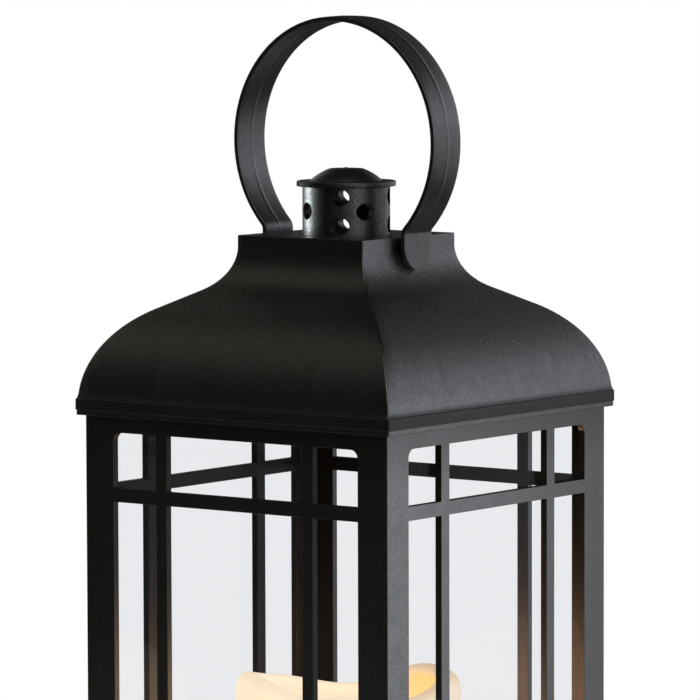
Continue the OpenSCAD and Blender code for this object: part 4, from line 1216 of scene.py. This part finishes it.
def smooth_rows(rows, steps):
    """A closed chain of rows made smooth: between rows p1 and p2 with the neighbours p0 and p3,
    the point at share s is the Catmull-Rom cubic of the four."""
    p0, p1, p2, p3 = (np.roll(rows, shift, 0)[:, None] for shift in (1, 0, -1, -2))
    s = np.linspace(0, 1, steps, endpoint=False)[None, :, None, None]
    cubic = 0.5 * (2 * p1 + (p2 - p0) * s + (2 * p0 - 5 * p1 + 4 * p2 - p3) * s**2
        + (3 * p1 - p0 - 3 * p2 + p3) * s**3)
    return cubic.reshape(-1, *rows.shape[1:])


inner_r = CANDLE_R - CANDLE_WALL
flat = 0 * angles
wall_rows = [
    (CANDLE_R, rim - 30), (CANDLE_R, rim - 15), (CANDLE_R, rim - 8), (CANDLE_R - 0.7, rim - 3.6),
    (CANDLE_R - 2.6, rim - 1.0), (CANDLE_R - 5.5, rim), (CANDLE_R - 8.2, rim - 1.2),
    (CANDLE_R - 10.2, rim - 4.4), (CANDLE_R - 12.2, rim - 10), (CANDLE_R - 15.2, rim - 16.5),
    (HOLLOW_R + 2.2, HOLLOW_Z + 1.8 + flat), (HOLLOW_R - 1.5, HOLLOW_Z + 0.2 + flat),
    (15.0, HOLLOW_Z + flat), (LED_R + 0.9, HOLLOW_Z + flat), (LED_R + 0.5, HOLLOW_Z - 0.4 + flat),
    (LED_R + 0.5, HOLLOW_Z - HOLLOW_T + flat), (15.0, HOLLOW_Z - HOLLOW_T + flat),
    (HOLLOW_R + 2.5, HOLLOW_Z - HOLLOW_T + flat), (CANDLE_R - 15.8, rim - 20.5),
    (CANDLE_R - 12.6, rim - 13), (inner_r - 2.4, rim - 11.5), (inner_r, rim - 16),
    (inner_r, INNER_MIDDLE_Z + flat), (inner_r, FLOOR_Z + 0.3 + flat),
    (inner_r + 0.3, FLOOR_Z + flat), (CANDLE_R - 0.5, FLOOR_Z + flat),
    (CANDLE_R, FLOOR_Z + 0.6 + flat), (CANDLE_R, OUTER_MIDDLE_Z + flat),
]
rows = np.stack([np.stack([radius + flat, z + flat], -1) for radius, z in wall_rows])
rows = smooth_rows(rows, 4)
rows[..., 1] = np.maximum(rows[..., 1], FLOOR_Z)
a = np.radians(angles)[None]
runs = sum(depth * np.sin(count * a + phase) for depth, count, phase in RUNS)
near_rim = np.clip((rows[..., 1] - (rim[None] - RUNS_BELOW)) / RUNS_FADE, 0, 1)
outside = np.clip((rows[..., 0] - inner_r) / 2, 0, 1)
radius = rows[..., 0] + runs * near_rim * outside - RUNS[0][0] * near_rim
candle_grid = np.stack([radius * np.cos(a), radius * np.sin(a), rows[..., 1]], -1)
candle = bare_piece("candle_wax_shell",
    [outward(*grid(candle_grid, wrap_rows=True, wrap_columns=True))])
shade_smooth(candle, math.radians(50))
at = vertex_points(candle.data) * 1000
point_rim = RIM_Z + melted_rise(np.degrees(np.arctan2(at[:, 1], at[:, 0])) % 360)
below_rim = candle.data.attributes.new("below_rim", "FLOAT", "POINT")
below_rim.data.foreach_set("value", point_rim - at[:, 2])
print(f"{len(at)} points, up to {(point_rim - at[:, 2]).max():.0f} mm below the rim")

# %% [markdown]
# Wax lets light in a little way and scatters it. The lamp's light through the wax is a painted
# glow, given as emission: strongest in the hollow and warm, then paler over the lip, and fading to
# a dim brown farther down. The painted glow is a colour that depends on how far a point lies below
# the rim, which the mesh carries in millimetres, on the distance from the axis and on the side, on
# top of the wax's own colour. On the right the outer wall's glow is painted dimmer and the hollow's
# brighter and orange, and in the hollow there orange is also painted into the wax's own colour.

# %% Candle wax
wax, recipe = new_material("wax with painted glow")
where = recipe.place()
x, y, _ = recipe.parts(where)
from_axis = (x * x + y * y).math("SQRT")
below = recipe.node("ShaderNodeAttribute", {"attribute_name": "below_rim"}, output=2)
cloud = recipe.noise(where, 45, 3)
fine = recipe.noise(where, 320, 2)
in_hollow = (1 - from_axis.step(0.037, 0.0450)) * below.step(0.8, 5.0)
low = below.step(26, 70)
# Painted light by side: on the right the outer wall's glow is dimmer and the hollow's is orange.
right_side = (0.80 * x + 0.60 * y).step(0.0, 0.036)
wax_and_glow_colour = recipe.mix(cloud, colour(0.86, 0.74, 0.55), colour(0.92, 0.82, 0.64))
# Painted glow: orange mixed into the wax's own colour in the hollow on the right.
wax_and_glow_colour = recipe.mix(in_hollow * right_side * 0.8, wax_and_glow_colour, colour(0.62, 0.36, 0.13))
wall_glow = recipe.mix(right_side, colour(0.90, 0.73, 0.52), colour(0.58, 0.48, 0.38))
lip_glow = recipe.mix(right_side, colour(0.80, 0.66, 0.48), colour(0.56, 0.40, 0.26))
wall_glow = recipe.mix(1 - below.step(1.0, 5.0), wall_glow, lip_glow)
# Painted shade: the glow fades to a dim brown farther below the rim.
wall_glow = recipe.mix(low, wall_glow, colour(0.20, 0.13, 0.07))
hollow_glow = recipe.mix(right_side, colour(0.52, 0.46, 0.38), colour(0.98, 0.57, 0.17))
glow = recipe.mix(in_hollow, wall_glow, hollow_glow)
recipe.close(recipe.surface({
    "Base Color": wax_and_glow_colour,
    "Roughness": 0.42 + 0.16 * (fine - 0.5),
    "Subsurface Weight": 0.25,
    "Subsurface Radius": (0.006, 0.003, 0.0015),
    "Subsurface Scale": 1.0,
    # The painted glow goes in as emission.
    "Emission Color": glow,
    "Emission Strength": 1.0,
    "Normal": recipe.bump(cloud * 0.6 + fine * 0.4, 0.6, 0.0004),
}))
settle(candle, wax, "lantern", "candle_shell")

# %% [markdown]
# ## Plated steel
#
# The screws, springs, contacts and the switch's case are plated steel. Plating is bright but never
# a mirror: rolling and tumbling leave it cloudy and full of fine marks. Noise in the roughness and
# a very low bump give both.


# %% Plated steel
def plated(name, tone, gloss, mark_depth):
    """Material of plated steel. tone is its colour, gloss the roughness and mark_depth the height
    of the fine marks in metres."""
    material, recipe = new_material(name)
    where = recipe.place()
    cloud = recipe.noise(where, 190, 3)
    marks = recipe.noise(where, 2400, 2, 0.7)
    dim = colour(*(0.80 * part for part in tone))
    recipe.close(recipe.surface({
        "Base Color": recipe.mix(cloud, dim, colour(*tone)),
        "Metallic": 1.0,
        "Roughness": gloss + 0.22 * (cloud - 0.5) + 0.10 * (marks - 0.5),
        "Normal": recipe.bump(marks, 1.0, mark_depth),
    }))
    return material


zinc = plated("zinc plating", (0.60, 0.62, 0.64), 0.34, 0.00002)
nickel = plated("nickel plating", (0.66, 0.63, 0.57), 0.26, 0.00001)

# %% [markdown]
# ## Screws
#
# Each screw is one surface, from the middle of the head's face to the tip. Over the face it is a
# height field in which two crossed slots sink towards the middle. Along the shaft the radius
# carries a ridge that moves on by one pitch each turn, which is the thread. All of them are driven
# upward, so their faces look down.

# %% Screw
HEAD_R = 2.7
HEAD_H = 1.3
THREAD_R = 1.2
ROOT_R = 0.92
PITCH = 1.0
SLOT_HALF_W = 0.42
SLOT_R = 1.75
SLOT_DEPTH = 0.95
TIP_L = 1.0
ROWS_PER_PITCH = 8


def screw(x, y, face_z, length, steps=48):
    """A screw at (x, y) whose head's face is at face_z. Over the face, the height at radius r is
    0.12 (r / HEAD_R)^2, plus SLOT_DEPTH (1 - 0.55 r / SLOT_R) in the slots. Along the shaft, at
    height h and angle a, the radius is the root's plus a ridge (0.5 + 0.5 cos(2 pi h / PITCH - a))
    squared, which fades at both ends."""
    a = np.linspace(0, 2 * math.pi, steps, endpoint=False)[None]
    r = np.linspace(0, HEAD_R - 0.34, 22)[:, None]
    off_slot = np.minimum(np.abs(r * np.cos(a)), np.abs(r * np.sin(a)))
    slot = np.clip((SLOT_HALF_W + 0.06 - off_slot) / 0.14, 0, 1)
    slot = slot * np.clip((SLOT_R - r) / 0.22, 0, 1)
    face = 0.12 * (r / HEAD_R) ** 2 + slot * SLOT_DEPTH * (1 - 0.55 * r / SLOT_R)
    rim = softened([[HEAD_R - 0.3, 0.11], [HEAD_R, 0.13], [HEAD_R, HEAD_H], [ROOT_R, HEAD_H]],
        [0, 0.25, 0.15, 0])
    shaft_end = HEAD_H + length - TIP_L
    shaft_rows = int(ROWS_PER_PITCH * (length - TIP_L) / PITCH)
    h = np.linspace(HEAD_H + 0.05, shaft_end, shaft_rows)[:, None]
    ridge = (0.5 + 0.5 * np.cos(2 * math.pi * h / PITCH - a)) ** 2
    fade = np.clip((h - HEAD_H - 0.2) / 0.6, 0, 1) * np.clip((shaft_end - h) / 0.8, 0, 1)
    shaft = ROOT_R + (THREAD_R - ROOT_R) * ridge * fade
    tip = np.array([[0.75 * ROOT_R, shaft_end + 0.5], [0.3 * ROOT_R, shaft_end + 0.9],
        [0, HEAD_H + length]])
    rows = [(r, face), (rim[:, :1], rim[:, 1:]), (shaft, h), (tip[:, :1], tip[:, 1:])]
    radius = np.concatenate([part + 0 * a for part, height in rows])
    height = np.concatenate([height + 0 * a for part, height in rows])
    points = np.stack([x + radius * np.cos(a), y + radius * np.sin(a), face_z + height], -1)
    return outward(*grid(points, wrap_columns=True))


# %% [markdown]
# Four screws hold the cover, three hold the candle's base, and one, which rides on the door, holds
# the battery door. The heights of their heads are measured on the solids.

# %% Screws of the cover, the door and the candle
CORNERS = [(x, y) for x in (-1, 1) for y in (-1, 1)]
SCREW_POS = 54.0
SCREW_L = 9.0
EAR_X = 31.3
DOOR_SCREW_L = 5.5
CANDLE_SCREW_R = 40.0
CANDLE_SCREW_TURNS = np.radians([90.0, -50.018, 230.018])

turns = CANDLE_SCREW_TURNS
candle_places = CANDLE_SCREW_R * np.stack([np.cos(turns), np.sin(turns)], -1)
screw_sets = (
    ("cover_screw_set", "cover_screws", "lantern", SCREW_POS * np.array(CORNERS), SCREW_L),
    ("candle_screw_set", "candle_screws", "lantern", candle_places, SCREW_L),
    ("door_screw_single", "door_screw", "door", [(EAR_X, 0)], DOOR_SCREW_L),
)
for name, node, body, places, length in screw_sets:
    face_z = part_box(node)[0].z * 1000
    screws = bare_piece(name, [screw(x, y, face_z, length) for x, y in places])
    shade_smooth(screws)
    settle(screws, zinc, body, node)

# %% [markdown]
# ## Feet
#
# Four soft feet sit in shallow seats of the cover. They are turned pads: a bevelled edge and two
# ring grooves on the face that stands on the table, which is what such stick-on feet look like.
# Rubber is dull, faintly mottled, and its fine pores catch a little dust.

# %% Feet
FOOT_POS = 68.0
FOOT_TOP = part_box("feet")[1].z * 1000

foot_profile = softened([
    [0, 0.3], [2.3, 0.3], [2.5, 0], [4.1, 0], [4.3, 0.3], [4.9, 0.3], [5.1, 0], [6.35, 0],
    [7.0, 0.65], [7.0, FOOT_TOP], [0, FOOT_TOP],
], [0, 0.1, 0.1, 0.1, 0.1, 0.1, 0.1, 0.2, 0.2, 0.2, 0], steps=3)
feet = bare_piece("soft_feet", [
    turned(foot_profile, 56, "z", (x * FOOT_POS, y * FOOT_POS, 0)) for x, y in CORNERS])
shade_smooth(feet)

rubber, recipe = new_material("foot rubber")
where = recipe.place()
cloud = recipe.noise(where, 240, 3)
pores = recipe.noise(where, 2600, 2, 0.7)
dusty = pores.step(0.58, 0.72) * 0.4
tint = recipe.mix(cloud, colour(0.034, 0.034, 0.033), colour(0.052, 0.051, 0.049))
recipe.close(recipe.surface({
    "Base Color": recipe.mix(dusty, tint, colour(0.11, 0.11, 0.10)),
    "Roughness": 0.74 + 0.2 * (cloud - 0.5),
    "Normal": recipe.bump(pores, 1.0, 0.00004),
    "Specular IOR Level": 0.35,
}))
settle(feet, rubber, "lantern", "feet")

# %% [markdown]
# ## Batteries
#
# Three cells lie side by side and point opposite ways, as cells in series do. Each is a turned
# profile: the sleeve with its shrunk edges, the recessed minus end, and the plus end's shoulder and
# nub. The sleeve is plain foil, and past its edges the bare steel shows. The material knows where
# that is from the distance along the cell.

# %% Batteries
CELL_YS = (-14.9, 0.0, 14.9)
CELL_Z = 10.85
CELL_R = 7.25
CELL_HALF_L = 25.25
NUB_L = 1.0
SLEEVE_ENDS = (0.0239, 0.0240)
FLIP = (1, -1, 1)

body_end = CELL_HALF_L - NUB_L
cell_profile = softened([
    [0, -CELL_HALF_L + 0.2], [5.2, -CELL_HALF_L + 0.2], [5.4, -CELL_HALF_L], [6.3, -CELL_HALF_L],
    [CELL_R, -CELL_HALF_L + 0.9], [CELL_R, body_end - 0.9], [6.3, body_end], [5.3, body_end],
    [5.1, body_end - 0.25], [3.1, body_end - 0.25], [2.75, body_end], [2.75, CELL_HALF_L],
    [0, CELL_HALF_L],
], [0, 0.1, 0.1, 0.1, 0.7, 0.7, 0.1, 0.1, 0.1, 0.1, 0.1, 0.3, 0], steps=4)
cells = bare_piece("cell_row", [
    turned(cell_profile * [1, flip], 72, "x", (0, cell_y, CELL_Z))
    for flip, cell_y in zip(FLIP, CELL_YS)])
shade_smooth(cells)

foil, recipe = new_material("cell sleeve")
where = recipe.place()
bare = recipe.parts(where)[0].size().step(*SLEEVE_ENDS)
cloud = recipe.noise(where, 60, 3)
fine = recipe.noise(where, 1500, 2)
sleeve_tint = recipe.mix(cloud, colour(0.13, 0.15, 0.18), colour(0.19, 0.21, 0.25))
recipe.close(recipe.surface({
    "Base Color": recipe.mix(bare, sleeve_tint, colour(0.62, 0.62, 0.60)),
    "Metallic": 0.55 + 0.45 * bare,
    "Roughness": 0.30 + 0.10 * (fine - 0.5) + 0.16 * (cloud - 0.5),
    "Normal": recipe.bump(fine, 0.5, 0.00001),
}))
settle(cells, foil, "lantern", "batteries")

# %% [markdown]
# ## Tubes along a path
#
# Springs and wires are tubes. A path of points gets a direction at each point, and two more
# directions square to it, from one fixed vector that the path never follows. The ring of the
# section lies in these two, and the ends are closed by small round caps.


# %% Tubes
def tube(path, radius, toward, facets=12):
    """A round tube. With t the path's direction and v the fixed vector, the section's two
    directions are p = v - (v . t) t, made one long, and q = t x p, and its points are the
    path's point + radius * (cos b p + sin b q)."""
    along = np.gradient(path, axis=0)
    t = along / np.linalg.norm(along, axis=1)[:, None]
    p = np.asarray(toward, float) - (t @ np.asarray(toward, float))[:, None] * t
    p = p / np.linalg.norm(p, axis=1)[:, None]
    q = np.cross(t, p)
    cap = np.array([0.0, 0.6, 0.92])
    size = np.concatenate([cap, np.ones(len(path)), cap[::-1]])[:, None, None] * radius
    push = np.array([0.0, 0.1, 0.3])[:, None] * radius
    centre = np.concatenate([path[0] + push * t[0], path, path[-1] - push[::-1] * t[-1]])
    p = np.concatenate([np.repeat(p[:1], 3, 0), p, np.repeat(p[-1:], 3, 0)])[:, None]
    q = np.concatenate([np.repeat(q[:1], 3, 0), q, np.repeat(q[-1:], 3, 0)])[:, None]
    b = np.linspace(0, 2 * math.pi, facets, endpoint=False)[None, :, None]
    points = centre[:, None] + size * (np.cos(b) * p + np.sin(b) * q)
    return outward(*grid(points, wrap_columns=True))


def bent(points, bend=3.0):
    """A wire's path: its corners are parabolas that start bend before the corner, or less where
    the next corner is near."""
    points = np.asarray(points, float)
    length = np.linalg.norm(np.diff(points, axis=0), axis=1)
    nearest = np.minimum(np.append(length, length[-1]), np.append(length[0], length))
    return softened(points, np.minimum(bend, 0.48 * nearest), steps=6)


# %% [markdown]
# A spring presses on each cell's minus end. It is a helix whose radius shrinks towards the cell.
# The contact strips are stamped sheet, so they keep their solids' shapes.

# %% Springs and contacts
SPRING_R = 4.6
SPRING_END_R = 2.6
SPRING_TURNS = 3
SPRING_FOOT = 27.4
SPRING_TIP = 25.55
SPRING_WIRE_R = 0.3

share = np.linspace(0, 1, 97)
coil_angle = 2 * math.pi * SPRING_TURNS * share
coil_r = SPRING_R + (SPRING_END_R - SPRING_R) * share
springs = []
for flip, cell_y in zip(FLIP, CELL_YS):
    coil = np.stack([
        -flip * (SPRING_FOOT + (SPRING_TIP - SPRING_FOOT) * share),
        cell_y + coil_r * np.cos(coil_angle),
        CELL_Z + coil_r * np.sin(coil_angle),
    ], -1)
    springs.append(tube(coil, SPRING_WIRE_R, (1, 0, 0), 10))
spring_set = bare_piece("spring_set", springs)
shade_smooth(spring_set)
settle(spring_set, nickel, "lantern", "battery_springs")
moulded_copy("contact_strips", "contact_plates", nickel, "lantern", 0.08)

# %% [markdown]
# ## Switch
#
# The switch is a bent metal case with three pins, and a pale knob that slides in the cover's
# pocket. Both are small blocks with open middles, so their solids' shapes stay, with edges as soft
# as a stamped sheet's and a moulded knob's. The knob rides on its own body.

# %% Switch
knob_pale, recipe = new_material("knob plastic")
where = recipe.place()
cloud = recipe.noise(where, 400, 3)
fine = recipe.noise(where, 3200, 2)
recipe.close(recipe.surface({
    "Base Color": recipe.mix(cloud, colour(0.66, 0.66, 0.63), colour(0.76, 0.76, 0.73)),
    "Roughness": 0.42 + 0.14 * (cloud - 0.5),
    "Normal": recipe.bump(fine, 1.0, 0.00001),
}))
moulded_copy("slide_switch_case", "switch_case", zinc, "lantern", 0.12)
moulded_copy("slide_switch_knob", "switch_knob", knob_pale, "knob", 0.12)

# %% [markdown]
# ## Lamp
#
# The lamp in the candle's hollow is a small LED: a flange, a short body and a round tip, all one
# casting of clear epoxy. It is turned. The epoxy glows warm, most at the tip, where the light
# leaves it.

# %% Lamp
LED_FLANGE_R = 2.9
LED_FLANGE_H = 1.0

led_low, led_top = (corner.z * 1000 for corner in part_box("lamp_led"))
led_profile = np.concatenate([
    softened([[0, led_low], [LED_FLANGE_R, led_low], [LED_FLANGE_R, led_low + LED_FLANGE_H],
        [LED_R, led_low + LED_FLANGE_H], [LED_R, led_top - LED_R]], [0, 0.2, 0.2, 0.1, 0]),
    arc((0, led_top - LED_R), LED_R, 0, 90, 14)[1:],
])
led_profile[-1, 0] = 0
led = bare_piece("lamp_dome", [turned(led_profile, 48)])
shade_smooth(led)

epoxy, recipe = new_material("warm epoxy")
where = recipe.place()
haze = recipe.noise(where, 500, 2)
at_tip = recipe.parts(where)[2].step(led_low / 1000, led_top / 1000)
recipe.close(recipe.surface({
    "Base Color": recipe.mix(haze, colour(0.96, 0.66, 0.28), colour(1.0, 0.74, 0.36)),
    "Roughness": 0.10 + 0.10 * haze,
    "IOR": 1.5,
    "Transmission Weight": 0.5,
    "Emission Color": recipe.mix(at_tip, colour(0.55, 0.26, 0.06), colour(1.0, 0.70, 0.34)),
    "Emission Strength": 3.0,
}))
settle(led, epoxy, "lantern", "lamp_led")

# %% [markdown]
# ## Circuit board
#
# The board carries a chip, a capacitor in its sleeve and a small metal can. One material paints
# all of them: green lacquer with slightly raised tracks below, and above it each part by its place.

# %% Circuit board
BOARD_TOP = 32.1
CAPACITOR_AT = (23.2, 1.95)
CAPACITOR_R = 3.1
CAPACITOR_H = 7.0
CAN_AT = (26.06, -4.05)
CAN_R = 1.6
MARGIN = 0.3
TRACK_START = 0.012
TRACK_WAVES = 2500

board = cad_copy("board_with_parts", "circuit_board")
round_edges(board, 0.12)
lacquer, recipe = new_material("board lacquer")
where = recipe.place()
x, y, z = recipe.parts(where)
cloud = recipe.noise(where, 300, 2)


def near(centre, reach):
    """1 within reach of an upright axis, all in millimetres, and 0 beyond."""
    off_x = x - centre[0] / 1000
    off_y = y - centre[1] / 1000
    off = (off_x * off_x + off_y * off_y).math("SQRT")
    return 1 - off.step(reach / 1000, (reach + 0.1) / 1000)


track = (y * TRACK_WAVES).math("SINE").step(0.55, 0.75)
track = track * x.step(TRACK_START, TRACK_START + 0.0002)
above = z.step((BOARD_TOP + 0.02) / 1000, (BOARD_TOP + 0.06) / 1000)
can = above * near(CAN_AT, CAN_R + MARGIN)
sleeve = above * near(CAPACITOR_AT, CAPACITOR_R + MARGIN)
lid_z = BOARD_TOP + CAPACITOR_H
lid = sleeve * z.step((lid_z - 0.1) / 1000, lid_z / 1000) * near(CAPACITOR_AT, CAPACITOR_R - 0.5)
green = recipe.mix(cloud, colour(0.030, 0.130, 0.055), colour(0.045, 0.175, 0.080))
paint = recipe.mix(track, green, colour(0.075, 0.245, 0.110))
paint = recipe.mix(above, paint, colour(0.014, 0.014, 0.015))
paint = recipe.mix(sleeve, paint, colour(0.020, 0.030, 0.075))
steel = can.highest(lid)
recipe.close(recipe.surface({
    "Base Color": recipe.mix(steel, paint, colour(0.62, 0.62, 0.62)),
    "Metallic": steel,
    "Roughness": 0.32 + 0.14 * above + 0.12 * (cloud - 0.5),
    "Normal": recipe.bump(track, 1.0, 0.00004),
}))
settle(board, lacquer, "lantern", "circuit_board")

# %% [markdown]
# ## Wires
#
# Six thin wires run inside: two from the lamp to the board, two from the battery bay and two from
# the switch, which come up through the floor in four lanes side by side. Each is a tube along a
# path with soft bends. Their insulation is smooth and a little uneven in colour.


# %% Insulation
def insulation(name, dark, light):
    """Material of a wire's smooth soft cover, whose colour lies between dark and light."""
    material, recipe = new_material(name)
    where = recipe.place()
    cloud = recipe.noise(where, 150, 3)
    recipe.close(recipe.surface({
        "Base Color": recipe.mix(cloud, dark, light),
        "Roughness": 0.40 + 0.16 * (cloud - 0.5),
        "Normal": recipe.bump(recipe.noise(where, 900, 2), 0.5, 0.00003),
        "Specular IOR Level": 0.4,
    }))
    return material


red_cover = insulation("red insulation",
    colour(0.36, 0.022, 0.016), colour(0.46, 0.034, 0.024))
black_cover = insulation("black insulation",
    colour(0.014, 0.014, 0.014), colour(0.024, 0.024, 0.025))
print(f"{len(bpy.data.materials)} materials in all")

# %% [markdown]
# The points of each way repeat those of the solids, so the wires lie where the solids do. A wire's
# section needs one fixed direction that no way follows, which is the vector SKEW.

# %% Wires
WIRE_R = 0.6
LEAD_GAP = 1.27
LANE_PITCH = 1.8
WIRE_HOLE_Y = -32.0
BAY_LOW = 16.3
BAY_EXIT = 13.85
BAY_X = 28.1
SWITCH_X = 58
PIN_PITCH = 2.5
SKEW = (0.31, 0.47, 0.83)


def lane(i):
    """A wire's way from the board down through the floor, for the lanes 0 to 3 along X."""
    lane_x = (i - 1.5) * LANE_PITCH
    board_x = 14 + 3 * i
    return [(board_x, -13.5, 30.4), (board_x, -13.5, 28.0), (board_x, -15, 26),
        (lane_x, -29, 26), (lane_x, WIRE_HOLE_Y, 23.5), (lane_x, WIRE_HOLE_Y, 18.3)]


def switch_way(i):
    """A wire's way from the floor's hole to one of the switch's pins."""
    pin_x = SWITCH_X + (i - 1) * PIN_PITCH
    side_y = -32.6 - 2 * i
    low = 15.6 - 1.4 * i
    return [(5, side_y, low), (44 + 3 * i, side_y, low), (pin_x, -14, 13), (pin_x, -4, 12),
        (pin_x, -0.35, 12)]


lamp_paths = [
    [(0, lead_y, 89.4), (0, lead_y, 35.7), (1, lead_y, 33.5), (3, lead_y, 32.7), (13, lead_y, 32.7)]
    for lead_y in (-LEAD_GAP, LEAD_GAP)]
bay_paths = [
    lane(0) + [(-4.5, WIRE_HOLE_Y, BAY_LOW), (-32.4, -30, BAY_LOW), (-33.4, -18.9, BAY_LOW),
        (-32.9, CELL_YS[0], BAY_EXIT), (-BAY_X, CELL_YS[0], BAY_EXIT)],
    lane(3) + [(4.5, -30, BAY_LOW), (34.4, -29, BAY_LOW), (38.4, -24, BAY_LOW),
        (38.4, 10.9, BAY_LOW), (35.4, CELL_YS[2], BAY_EXIT), (BAY_X, CELL_YS[2], BAY_EXIT)]]
switch_paths = [lane(2 - i) + switch_way(i) for i in (0, 1)]
wire_sets = [
    ("lamp_leads", lamp_paths, red_cover, "red_insulation", "lamp_wires"),
    ("bay_leads", bay_paths, red_cover, "red_insulation", "battery_wires"),
    ("switch_leads", switch_paths, black_cover, "black_insulation", "switch_wires")]
for name, paths, cover, slot, stands_for in wire_sets:
    leads = bare_piece(name, [tube(bent(path), WIRE_R, SKEW) for path in paths])
    shade_smooth(leads)
    settle(leads, cover, "lantern", stands_for)
